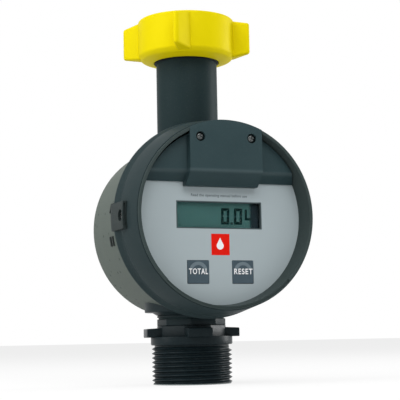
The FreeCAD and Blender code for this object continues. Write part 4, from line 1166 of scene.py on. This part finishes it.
@dataclass
class InletSeat:
    """Bushing under the nut and the flat gasket on the tube's end."""

    inner: float = 16.27
    outer: float = 17.1
    low: float = 170.3
    flange_low: float = 176.4
    flange_high: float = 178.2
    flange: float = 19.1
    gasket_low: float = 178.6
    gasket_high: float = 180.6
    gasket: float = 19.2
    bore: float = BORE

    def build(self) -> None:
        """Makes bushing and gasket."""
        section = rounded([
            Corner(self.inner, self.low, 0.2), Corner(self.outer, self.low, 0.35),
            Corner(self.outer, self.flange_low), Corner(self.flange, self.flange_low, 0.2),
            Corner(self.flange, self.flange_high, 0.3), Corner(self.inner, self.flange_high)], closed=True)
        bushing = Bench.turn("nut_bushing_ring", section, Axis.FLOW)
        Bench.hand_over(bushing, Finishes.BUSHING, "meter", "bearing_plastic", ["nut_bushing"])
        section = rounded([
            Corner(self.bore, self.gasket_low, 0.3), Corner(self.gasket, self.gasket_low, 0.3),
            Corner(self.gasket, self.gasket_high, 0.3),
            Corner(self.bore, self.gasket_high, 0.3)], closed=True)
        gasket = Bench.turn("inlet_gasket_ring", section, Axis.FLOW)
        Bench.hand_over(gasket, Finishes.RUBBER, "meter", "seal_rubber", ["inlet_gasket"])


# ------------------------------------------------------------------------------------------ display


@dataclass
class DisplayHousing:
    """Conical ring of the display unit with its rear wall and clip recesses."""

    rear: float = -24.5
    front: float = -50.1
    rear_radius: float = 50.8
    front_radius: float = 47.35
    lip: float = 1.1
    cove_width: float = 7.6
    cove_depth: float = 1.2
    seat: float = 46.3
    seat_back: float = -37.8
    well: float = 44.6
    wall: Pair = (-31.0, -28.5)
    socket: float = 46.15
    clip_floor: float = 48.75
    clip_front: float = -39.65
    clip_width: float = 13.9

    def radius(self, y: float) -> float:
        """The plain cone's radius at a depth."""
        share = (y - self.front) / (self.rear - self.front)
        return self.front_radius + (self.rear_radius - self.front_radius) * share

    def shell(self) -> Piece:
        """The turned ring with the hollow band round its rear."""
        steps = 8
        cove = []
        for k in range(steps + 1):
            y = self.rear - self.lip - self.cove_width * k / steps
            cove.append((self.radius(y) - self.cove_depth * math.sin(math.pi * k / steps), y))
        wall_front, wall_rear = self.wall
        section = rounded([
            Corner(0, wall_front), Corner(0, wall_rear), Corner(self.socket, wall_rear),
            Corner(self.socket, self.rear, 0.2), Corner(self.rear_radius, self.rear, 0.3),
            Corner(*cove[0], 0.25), *(Corner(*spot) for spot in cove[1:-1]), Corner(*cove[-1], 0.8),
            Corner(self.front_radius, self.front, 0.25), Corner(self.seat, self.front),
            Corner(self.seat, self.seat_back), Corner(self.well, self.seat_back),
            Corner(self.well, wall_front), Corner(0, wall_front)], steps=3)
        return Bench.turn("display_housing_ring", section, Axis.DISPLAY, DISPLAY_MIDDLE, steps=256)

    def build(self) -> None:
        """Makes the housing."""
        ring = self.shell()
        half = self.clip_width / 2
        tools = [Bench.block("clip_tool", Vector((left, self.clip_front, DISPLAY_Z - half)),
                             Vector((right, self.rear + 1, DISPLAY_Z + half)))
                 for left, right in ((-BEYOND, -self.clip_floor), (self.clip_floor, BEYOND))]
        Bench.combine(ring, tools, Cut.TAKE_AWAY)
        Bench.hand_over(ring, Finishes.RING, "meter", "black_moulding", ["display_housing"], smooth=26)


@dataclass
class Bezel:
    """Front ring that holds the face, open at the top for the cover's tongue."""

    front: float = DISPLAY_FRONT
    flange_back: float = -50.1
    foil: float = FACE_Y
    opening: float = 45.3
    face: float = 44.3
    seat: float = 46.15
    flange: float = 46.85
    step: float = 46.4
    step_depth: float = 1.1
    notch: float = 19.65
    notch_low: float = 30.0

    def build(self) -> None:
        """Makes the bezel."""
        section = rounded([
            Corner(self.face, self.foil), Corner(self.seat, self.foil), Corner(self.seat, self.flange_back),
            Corner(self.flange, self.flange_back), Corner(self.flange, self.front, 0.2),
            Corner(self.opening, self.front, 0.3)], steps=4, closed=True)
        ring = Bench.turn("bezel_moulding", section, Axis.DISPLAY, DISPLAY_MIDDLE, steps=256)
        before = self.front - 1
        notch = Bench.block("notch_tool", Vector((-self.notch, before, DISPLAY_Z + self.notch_low)),
                            Vector((self.notch, self.flange_back, DISPLAY_Z + BEYOND)))
        inside, step_back = self.face - 3, self.front + self.step_depth
        section = [(inside, before), (self.step, before), (self.step, step_back), (inside, step_back),
                   (inside, before)]
        step = Bench.turn("step_tool", section, Axis.DISPLAY, DISPLAY_MIDDLE, steps=256)
        for side in (-1, 1):
            Bench.slice_off(step, DISPLAY_MIDDLE, Vector((side, 0, 1)).normalized())
        Bench.combine(ring, [notch, step], Cut.TAKE_AWAY)
        Bench.hand_over(ring, Finishes.BEZEL, "meter", "black_moulding", ["bezel_ring"], smooth=26)


@dataclass
class Screw:
    """Pan-headed screw with a cross recess."""

    head: float = 2.1
    head_height: float = 1.3
    shank: float = 1.4
    length: float = 15.0
    recess: float = 0.75
    arm_half: float = 0.27
    arm_share: float = 0.62

    def build(self, name: str, face: Vector, axis: Axis, sign: int) -> Piece:
        """Makes one screw.

        Args:
            name: name of the piece.
            face: middle of the head's outer face, in mm.
            axis: the screw's axis.
            sign: 1 if the screw points along the axis, -1 if against it.

        Returns:
            The screw, not dressed yet.
        """
        section = rounded([
            Corner(0, 0), Corner(self.head * 0.6, 0.02, 0.4),
            Corner(self.head, self.head_height * 0.5, 0.35), Corner(self.head, self.head_height, 0.1),
            Corner(self.shank, self.head_height), Corner(self.shank, self.length, 0.3),
            Corner(0, self.length)], steps=4)
        screw = Bench.turn(name, section, Axis.FLOW, steps=48)
        arms = []
        for turn in (20, 110):
            reach = self.head * self.arm_share
            arm = Bench.block("recess_tool", Vector((-reach, -self.arm_half, -0.5)),
                              Vector((reach, self.arm_half, self.recess)))
            Bench.rotate_about_flow(arm, turn)
            arms.append(arm)
        Bench.combine(screw, arms, Cut.TAKE_AWAY)
        spin = {Axis.FLOW: Matrix.Identity(4), Axis.DISPLAY: Matrix.Rotation(-math.pi / 2, 4, "X"),
                Axis.SIDE: Matrix.Rotation(math.pi / 2, 4, "Y")}[axis]
        if sign < 0:
            spin = Matrix.Rotation(math.pi, 4, "Z" if axis is not Axis.FLOW else "X") @ spin
        Bench.settle(screw)
        screw.data.transform(Matrix.Translation(face * MM) @ spin)
        return screw


@dataclass
class SideClips:
    """Clips that hold the display unit on the drum, with their screws."""

    floor: float = 48.7
    outer: float = 50.95
    front: float = -39.5
    rear: float = -21.2
    width: float = 13.6
    hook_reach: float = 43.95
    hook_width: float = 7.4
    hook: float = 3.0
    screw_y: float = -35.6
    screw_sunk: float = 0.8
    well: float = 2.9
    well_depth: float = 2.6
    mouth_depth: float = 0.9
    mouth_wall: float = 0.6
    mouth_side: float = 1.1
    edge: float = 0.3
    screw: Screw = field(default_factory=lambda: Screw(head=2.6, head_height=1.6, length=4.8))

    def build(self) -> None:
        """Makes both clips and both screws."""
        half = self.width / 2
        plate = Bench.block("clip_plate", Vector((self.floor, self.front, DISPLAY_Z - half)),
                            Vector((self.outer, self.rear, DISPLAY_Z + half)))
        with Bench.edited(plate):
            bpy.ops.mesh.subdivide(number_cuts=7)

        def bow(point: Vector) -> Vector:
            """Bends the outside to the ring's curve."""
            share = (point.x - self.floor) / (self.outer - self.floor)
            reach = math.sqrt(self.outer ** 2 - (point.z - DISPLAY_Z) ** 2)
            return Vector((self.floor + (reach - self.floor) * share, point.y, point.z))

        Bench.move_points(plate, bow)
        Bench.soften(plate, 0.35, 3, 40)
        well_floor = Vector((self.outer - self.well_depth, self.screw_y, DISPLAY_Z))
        pocket = Bench.rod("pocket_tool", self.well, well_floor, Axis.SIDE, 4, 64)
        mouth_half, hook_half = half - self.mouth_side, self.hook_width / 2
        mouth = Bench.block(
            "mouth_tool", Vector((self.floor + self.mouth_wall, self.front - 1, DISPLAY_Z - mouth_half)),
            Vector((self.outer - self.mouth_wall, self.front + self.mouth_depth, DISPLAY_Z + mouth_half)))
        Bench.soften(mouth, self.edge, 2)
        hook_low = Vector((self.hook_reach, self.rear - self.hook, DISPLAY_Z - hook_half))
        hook = Bench.block("clip_hook", hook_low, Vector((self.floor + 1, self.rear, DISPLAY_Z + hook_half)))
        Bench.soften(hook, self.edge, 2)
        Bench.combine(plate, [pocket, mouth], Cut.TAKE_AWAY)
        right = Bench.join("clip_right", [plate, hook])
        left = Bench.twin(right, "clip_left", Matrix.Diagonal((-1, 1, 1, 1)))
        for clip, replaced in ((right, ["side_clips"]), (left, [])):
            Bench.hand_over(clip, Finishes.CLIP, "meter", "black_moulding", replaced)
        for side, name, replaced in ((1, "right", ["clip_screws"]), (-1, "left", [])):
            face = Vector((side * (self.outer - self.screw_sunk), self.screw_y, DISPLAY_Z))
            screw = self.screw.build("clip_screw_" + name, face, Axis.SIDE, -side)
            Bench.hand_over(screw, Finishes.SCREW, "meter", "screw_steel", replaced)


@dataclass
class BatteryCover:
    """Dark cover of the upper face with its raised tongue and two screws."""

    front: float = DISPLAY_FRONT
    back: float = FACE_Y
    side_front: float = -46.5
    field_radius: float = 44.15
    lip_radius: float = 47.05
    lip: float = 1.15
    side_low: float = 16.9
    side_crease: float = 22.2
    tongue_low: float = 14.5
    tongue_crease: float = 21.2
    tongue_foot: float = -44.6
    tongue_half: float = 19.5
    crease_rounding: float = 2.2
    screw_x: float = 13.8
    screw_z: float = 38.3
    screw_sunk: float = 0.5
    well: float = 2.45
    well_depth: float = 1.9
    screw: Screw = field(default_factory=lambda: Screw(head=2.1, head_height=1.3, length=16.5))

    def slab(self, name: str, radius: float, front: float, back: float) -> Piece:
        """A disc of the face's outline, ready to be cut to its form."""
        return Bench.rod(name, radius, Vector((0, front, DISPLAY_Z)), Axis.DISPLAY, back - front, sides=192)

    def cut_lower_edge(self, piece: Piece, low: Vector, crease: Vector) -> None:
        """Cuts the sloping lower edge and rounds its crease.

        Args:
            piece: the slab to cut.
            low: a point of the slope's foot, in mm.
            crease: a point of the crease, in mm.
        """
        Bench.slice_off(piece, low, Vector((0, 0, -1)))
        run = (crease - low).normalized()
        Bench.slice_off(piece, crease, Vector((0, -run.z, run.y)))

        def on_crease(edge: bpy.types.MeshEdge) -> bool:
            """Whether an edge lies on the crease."""
            ends = [piece.data.vertices[index].co / MM for index in edge.vertices]
            return all((end - crease).yz.length < 0.01 for end in ends)

        with Bench.edited_part(piece, "EDGE", on_crease):
            bpy.ops.mesh.bevel(offset=self.crease_rounding * MM, segments=8, profile=0.5)

    def side_field(self) -> Piece:
        """The flat field behind the tongue, with its sloping lower edge."""
        piece = self.slab("cover_field", self.field_radius - 0.05, self.side_front, self.back - 0.05)
        self.cut_lower_edge(piece, Vector((0, self.back - 0.8, DISPLAY_Z + self.side_low)),
                            Vector((0, self.side_front, DISPLAY_Z + self.side_crease)))
        return piece

    def tongue(self) -> Piece:
        """The raised tongue, with the thin lip that laps the bezel's notch."""
        piece = self.slab("battery_cover_moulding", self.lip_radius, self.front, self.back)
        self.cut_lower_edge(piece, Vector((0, self.tongue_foot, DISPLAY_Z + self.tongue_low)),
                            Vector((0, self.front, DISPLAY_Z + self.tongue_crease)))
        for side in (-1, 1):
            Bench.slice_off(piece, Vector((side * self.tongue_half, 0, 0)), Vector((side, 0, 0)))
        inner, under_lip, behind = self.field_radius, self.front + self.lip, self.back + 1
        section = [(inner, under_lip), (BEYOND, under_lip), (BEYOND, behind), (inner, behind),
                   (inner, under_lip)]
        rim = Bench.turn("rim_tool", section, Axis.DISPLAY, DISPLAY_MIDDLE, steps=192)
        Bench.combine(piece, [rim], Cut.TAKE_AWAY)
        return piece

    def build(self) -> None:
        """Makes cover and screws."""
        piece = self.tongue()
        Bench.combine(piece, [self.side_field()], Cut.ADD)
        Bench.soften(piece, 0.28, 3, 30)
        places = [Vector((side * self.screw_x, self.front, DISPLAY_Z + self.screw_z)) for side in (-1, 1)]
        above = Vector((0, -1, 0))
        wells = [Bench.rod("screw_tool", self.well, place + above, Axis.DISPLAY, 1 + self.well_depth, 64)
                 for place in places]
        Bench.combine(piece, wells, Cut.TAKE_AWAY)
        Bench.hand_over(piece, Finishes.COVER, "meter", "black_moulding", ["battery_cover"], smooth=26)
        for place, name, replaced in zip(places, ("left", "right"), ([], ["cover_screws"])):
            face = place + Vector((0, self.screw_sunk, 0))
            screw = self.screw.build("cover_screw_" + name, face, Axis.DISPLAY, 1)
            Bench.hand_over(screw, Finishes.SCREW, "meter", "screw_steel", replaced)


# ------------------------------------------------------------------------------------------ face


@dataclass
class Lettering:
    """Small raised print made from a plain built-in letter."""

    size: float
    width: float
    boldness: float = 0.07
    spacing: float = 1.18
    thickness: float = 0.08

    def build(self, name: str, words: str, centre: Vector) -> Piece:
        """Makes one word that faces the reader in front of the display.

        Args:
            name: name of the piece.
            words: what it says.
            centre: middle of the word, in mm.

        Returns:
            The word as a mesh.
        """
        Bench.put_down()
        bpy.ops.object.text_add(location=(0, 0, 0))
        text = bpy.context.object
        text.name = name
        text.data.body = words
        text.data.align_x = "CENTER"
        text.data.align_y = "CENTER"
        text.data.size = self.size * MM
        text.data.extrude = self.thickness * MM / 2
        text.data.offset = self.boldness * MM
        text.data.space_character = self.spacing
        bpy.ops.object.convert(target="MESH")
        piece = bpy.context.object
        piece.name = name
        piece.data.transform(Matrix.Diagonal((self.width * MM / piece.dimensions.x, 1, 1, 1)))
        piece.data.transform(Matrix.Translation(centre * MM) @ Matrix.Rotation(math.pi / 2, 4, "X"))
        return piece


@dataclass
class DisplayDigits:
    """The figures of the liquid-crystal display."""

    y: float = -37.7
    slant: float = 0.03
    bar: float = 1.45
    gap: float = 0.07
    plain_bars: tuple[tuple[float, float, float, float], ...] = (
        (7.2, 8.4, -3.8, -2.7), (15.0, 16.3, -1.5, 4.0), (16.3, 18.4, -1.5, -0.3))
    places: dict[str, tuple[float, float, float, float]] = field(default_factory=lambda: {
        "first_nought": (1.9, 6.5, -3.8, 4.5), "second_nought": (9.0, 13.6, -3.8, 4.5)})

    def strip(self, outline: Sequence[Pair]) -> Piece:
        """One bar of a figure.

        Args:
            outline: its corners in the display's plane, in mm from the display's middle.

        Returns:
            The bar.
        """
        points = [Vector((x + self.slant * z, self.y, DISPLAY_Z + z)) for x, z in outline]
        return Bench.prism("figure_bar", points, Vector((0, 0.03, 0)))

    def nought(self, left: float, right: float, low: float, high: float) -> list[Piece]:
        """The six mitred bars of a nought, between its left, right, lower and upper ends."""
        bar, gap, middle = self.bar, self.gap, (low + high) / 2
        bars = []
        for outer, inner in ((high, high - bar), (low, low + bar)):
            bars.append(self.strip([(left + gap, outer), (right - gap, outer), (right - bar - gap, inner),
                                    (left + bar + gap, inner)]))
            away = gap if outer > middle else -gap
            for edge, inside in ((left, left + bar), (right, right - bar)):
                shoulder = middle + 4 * away
                bars.append(self.strip([(edge, outer - away), (inside, inner - away), (inside, shoulder),
                                        ((edge + inside) / 2, middle + away), (edge, shoulder)]))
        return bars

    def build(self) -> None:
        """Makes all figures."""
        bars: list[Piece] = []
        for place in self.places.values():
            bars += self.nought(*place)
        for left, right, low, high in self.plain_bars:
            bars.append(self.strip([(left, low), (right, low), (right, high), (left, high)]))
        Bench.hand_over(Bench.join("display_figures", bars), Finishes.DIGIT, "meter", "lcd_glass")


@dataclass
class Keys:
    """The two square keys with an embossed arc and a word."""

    height: float = -27.9
    x: float = 12.1
    size: float = 11.5
    front: float = -40.65
    back: float = -36.95
    arc: float = 4.9
    arc_width: float = 1.7
    arc_lift: float = 0.2
    arc_low: float = 0.9
    ridge: float = 0.14
    rim: float = 0.5
    dish_slope: float = 0.15
    dish: float = 0.05
    word_rise: float = 0.17
    word_lift: float = 0.15

    def arc_ridge(self, name: str, x: float) -> Piece:
        """The half ring above the word."""
        middle = Vector((x, 0, DISPLAY_Z + self.height + self.arc_lift))
        inner, top = self.arc - self.arc_width, self.front - self.ridge
        section = rounded([Corner(inner, self.front), Corner(inner, top, 0.1), Corner(self.arc, top, 0.1),
                           Corner(self.arc, self.front)], closed=True)
        ridge = Bench.turn(name, section, Axis.DISPLAY, middle, steps=96)
        Bench.slice_off(ridge, middle + Vector((0, 0, self.arc_low)), Vector((0, 0, -1)))
        return ridge

    def cap(self, name: str, x: float) -> Piece:
        """The square cap with a slightly dished face."""
        half = self.size / 2
        middle = DISPLAY_Z + self.height
        piece = Bench.block(name, Vector((x - half, self.front, middle - half)),
                            Vector((x + half, self.back, middle + half)))
        with Bench.edited_part(piece, "FACE", lambda side: side.normal.y < -0.9):
            bpy.ops.mesh.inset(thickness=self.rim * MM)
            bpy.ops.mesh.inset(thickness=self.dish_slope * MM, depth=-self.dish * MM)
        Bench.soften(piece, 0.2, 3, 40)
        return piece

    def build(self) -> None:
        """Makes keys, arcs and words."""
        letters = Lettering(3.9, 10.1)
        for node, body, word, x in (("sum_key", "sum_button", "TOTAL", -self.x),
                                    ("reset_key", "reset_button", "RESET", self.x)):
            Bench.hand_over(self.cap(node + "_cap", x), Finishes.KEY, body, "key_plastic", [node])
            Bench.hand_over(self.arc_ridge(node + "_arc", x), Finishes.KEY_EDGE, body, "key_plastic")
            spot = Vector((x, self.front - self.word_rise, DISPLAY_Z + self.height + self.word_lift))
            Bench.hand_over(letters.build(node + "_word", word, spot), Finishes.PRINT, body, "key_plastic")


@dataclass
class FacePrint:
    """The prints on the face, a red field with a drop and a line of small print, and the window's rim."""

    y: float = FACE_Y
    window_width: float = 46.4
    window_height: float = 13.8
    window_z: float = 0.6
    rim: float = 0.55
    rim_depth: float = 1.9
    field_x: Pair = (-4.75, 5.15)
    field_z: Pair = (-19.5, -8.8)
    drop_radius: float = 1.9
    drop_z: float = -14.8
    drop_tip: float = 4.1
    note_width: float = 30.5
    note_z: float = 10.4

    def window_rim(self) -> Piece:
        """The plain frame round the display window."""
        wide, high = self.window_width / 2, self.window_height / 2
        middle = DISPLAY_Z + self.window_z
        outer = Bench.block("window_rim", Vector((-wide, self.y - 0.02, middle - high)),
                            Vector((wide, self.y + self.rim_depth, middle + high)))
        wide, high = wide - self.rim, high - self.rim
        inner = Bench.block("window_tool", Vector((-wide, self.y - 3, middle - high)),
                            Vector((wide, self.y + 6, middle + high)))
        Bench.combine(outer, [inner], Cut.TAKE_AWAY)
        return outer

    def drop(self) -> Piece:
        """A plain drop for liquid."""
        centre = Vector((0, self.y - 0.06, DISPLAY_Z + self.drop_z))
        turns = [math.radians(-220 + 260 * k / 24) for k in range(25)]
        outline = [centre + self.drop_radius * Vector((math.cos(turn), 0, math.sin(turn))) for turn in turns]
        outline.append(centre + Vector((0, 0, self.drop_tip)))
        return Bench.prism("liquid_drop", outline, Vector((0, 0.04, 0)))

    def build(self) -> None:
        """Makes the window's rim and the prints."""
        Bench.hand_over(self.window_rim(), Finishes.WINDOW_RIM, "meter", "inner_plastic")
        (left, right), (low, high) = self.field_x, self.field_z
        field_piece = Bench.block("red_field", Vector((left, self.y - 0.03, DISPLAY_Z + low)),
                                  Vector((right, self.y + 0.02, DISPLAY_Z + high)))
        Bench.hand_over(field_piece, Finishes.MARK, "meter", "face_film")
        Bench.hand_over(self.drop(), Finishes.PRINT, "meter", "face_film")
        line = Lettering(2.0, self.note_width, boldness=0.02, spacing=1.05, thickness=0.04)
        words = "Read the operating manual before use"
        note = line.build("small_print_line", words, Vector((0, self.y - 0.03, DISPLAY_Z + self.note_z)))
        Bench.hand_over(note, Finishes.SMALL_PRINT, "meter", "face_film")


# ------------------------------------------------------------------------------------------ inner parts


class InnerWorks:
    """Plain nodes that are right as they are and only need their finish."""

    DRESS: dict[str, Finish] = {
        "face_foil": Finishes.FILM, "display_carrier": Finishes.INNER, "display_lens": Finishes.LENS,
        "lcd_module": Finishes.DISPLAY, "contact_strips": Finishes.ELASTOMER, "circuit_board": Finishes.BOARD,
        "board_screws": Finishes.SCREW, "pickup_sensor": Finishes.INNER, "sensor_seal": Finishes.RUBBER,
        "battery_cell": Finishes.CELL, "battery_tray": Finishes.INNER, "battery_contacts": Finishes.SPRING,
        "key_domes": Finishes.SPRING, "upper_flow_guide": Finishes.INSERT,
        "lower_flow_guide": Finishes.INSERT, "bearing_bushes": Finishes.BUSHING,
        "spacer_sleeve": Finishes.INSERT, "snap_ring": Finishes.SPRING,
        "turbine_rotor": Finishes.INSERT, "rotor_magnets": Finishes.MAGNET, "rotor_shaft": Finishes.SPRING,
        "nipple_oring": Finishes.RUBBER, "housing_gasket": Finishes.RUBBER}

    def build(self, nodes: dict[str, Piece]) -> None:
        """Dresses the nodes.

        Args:
            nodes: the plain nodes by name.
        """
        for name, finish in self.DRESS.items():
            node = nodes[name]
            node.data.materials.clear()
            node.data.materials.append(finish.material())
            LOG.info("%s: dressed as %s", name, finish.name)


# ------------------------------------------------------------------------------------------ studio


@dataclass
class Studio:
    """Pale floor, soft lamps, white surroundings and the camera."""

    camera_place: Vector = field(default_factory=lambda: Vector((-240.4, -595.7, 22.4)))
    azimuth: float = -22.5
    pitch: float = 6.6
    roll: float = -1.15
    lens: float = 109.35
    target: Vector = field(default_factory=lambda: Vector((0, 0, 0.1)))
    ambient: float = 0.3
    floor_glow: float = 0.8
    floor_tone: Colour = (0.86, 0.86, 0.86)
    floor_size: float = 60.0

    def camera(self) -> None:
        """Makes the camera."""
        turn, lift, tilt = (math.radians(a) for a in (self.azimuth, self.pitch, self.roll))
        ahead = Vector((-math.sin(turn) * math.cos(lift), math.cos(turn) * math.cos(lift), math.sin(lift)))
        side = Vector((math.cos(turn), math.sin(turn), 0))
        up = side.cross(ahead)
        x_axis = side * math.cos(tilt) + up * math.sin(tilt)
        y_axis = up * math.cos(tilt) - side * math.sin(tilt)
        data = bpy.data.cameras.new("camera")
        data.lens = self.lens
        data.sensor_width = 36
        data.clip_start, data.clip_end = 0.01, 20
        camera = bpy.data.objects.new("camera", data)
        bpy.context.scene.collection.objects.link(camera)
        pose = Matrix((x_axis, y_axis, -ahead)).transposed().to_4x4()
        camera.matrix_world = Matrix.Translation(self.camera_place * MM) @ pose
        bpy.context.scene.camera = camera

    def lamp(self, name: str, place: Vector, size: Pair, power: float) -> None:
        """Makes one soft white lamp that points at the meter's middle.

        Args:
            name: its name.
            place: where it stands, in metres.
            size: width and height, in metres.
            power: in watts.
        """
        data = bpy.data.lights.new(name, "AREA")
        data.shape = "RECTANGLE"
        data.size, data.size_y = size
        data.energy = power
        lamp = bpy.data.objects.new(name, data)
        bpy.context.scene.collection.objects.link(lamp)
        lamp.location = place
        lamp.rotation_euler = (self.target - place).to_track_quat("-Z", "Y").to_euler()

    @staticmethod
    def seen_directly(tree: Tree) -> Socket:
        """Tells the rays of camera, gloss and glass from those that only light a surface.

        Args:
            tree: the node tree to add to.

        Returns:
            A socket that is 1 for rays that see the surroundings.
        """
        rays = tree.nodes.new("ShaderNodeLightPath")
        seen = rays.outputs["Is Camera Ray"]
        for kind in ("Is Glossy Ray", "Is Transmission Ray"):
            seen = reckon(tree, "MAXIMUM", seen, rays.outputs[kind])
        return seen

    def world(self) -> None:
        """White for what the camera, gloss and glass see, and a plain level of light."""
        world = bpy.data.worlds.new("surroundings")
        bpy.context.scene.world = world
        world.use_nodes = True
        tree = world.node_tree
        shader = tree.nodes["Background"]
        level = map_range(tree, self.seen_directly(tree), target=(self.ambient, 1.0))
        tree.links.new(level, shader.inputs["Strength"])
        shader.inputs["Color"].default_value = (1, 1, 1, 1)

    def floor(self) -> None:
        """The pale floor, which glows a little less than fully and so keeps a faint shadow."""
        Bench.put_down()
        bpy.ops.mesh.primitive_plane_add(size=self.floor_size, location=(0, 0, 0))
        floor = bpy.context.object
        floor.name = "floor"
        made = bpy.data.materials.new("floor_paper")
        made.use_nodes = True
        tree = made.node_tree
        paper = tree.nodes["Principled BSDF"]
        paper.inputs["Base Color"].default_value = (*self.floor_tone, 1)
        paper.inputs["Roughness"].default_value = 0.9
        paper.inputs["Specular IOR Level"].default_value = 0.0
        glow = tree.nodes.new("ShaderNodeEmission")
        glow.inputs["Color"].default_value = (1, 1, 1, 1)
        glow.inputs["Strength"].default_value = 1.0
        share = reckon(tree, "MULTIPLY", self.seen_directly(tree), self.floor_glow)
        mix = tree.nodes.new("ShaderNodeMixShader")
        tree.links.new(share, mix.inputs["Fac"])
        tree.links.new(paper.outputs["BSDF"], mix.inputs[1])
        tree.links.new(glow.outputs["Emission"], mix.inputs[2])
        tree.links.new(mix.outputs["Shader"], tree.nodes["Material Output"].inputs["Surface"])
        floor.data.materials.append(made)

    def build(self) -> None:
        """Sets the whole studio."""
        self.camera()
        self.world()
        self.floor()
        self.lamp("left_window", Vector((-0.85, -0.2, 0.85)), (0.8, 0.8), 7)
        self.lamp("front_window", Vector((-0.15, -0.95, 0.95)), (0.9, 0.6), 8)
        self.lamp("right_window", Vector((1.0, 0.0, 0.2)), (0.3, 0.6), 7)
        self.lamp("left_strip", Vector((-1.0, 0.12, 0.2)), (0.25, 0.6), 2)
        self.lamp("top_window", Vector((0.0, 0.1, 1.2)), (0.9, 0.9), 3)
        bpy.context.scene.view_settings.view_transform = "Standard"


def main() -> None:
    """Builds the meter's visual model."""
    logging.basicConfig(level=logging.INFO, format="%(name)s: %(message)s")
    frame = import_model()
    for part in (OutletNipple(), FlowBody(), UnionNut(), InletSeat(), DisplayHousing(), Bezel(), SideClips(),
                 BatteryCover(), FacePrint(), DisplayDigits(), Keys()):
        part.build()
    InnerWorks().build(frame["nodes"])
    Studio().build()
    Bench.put_down()
    bpy.context.view_layer.update()


if __name__ == "__main__":
    main()
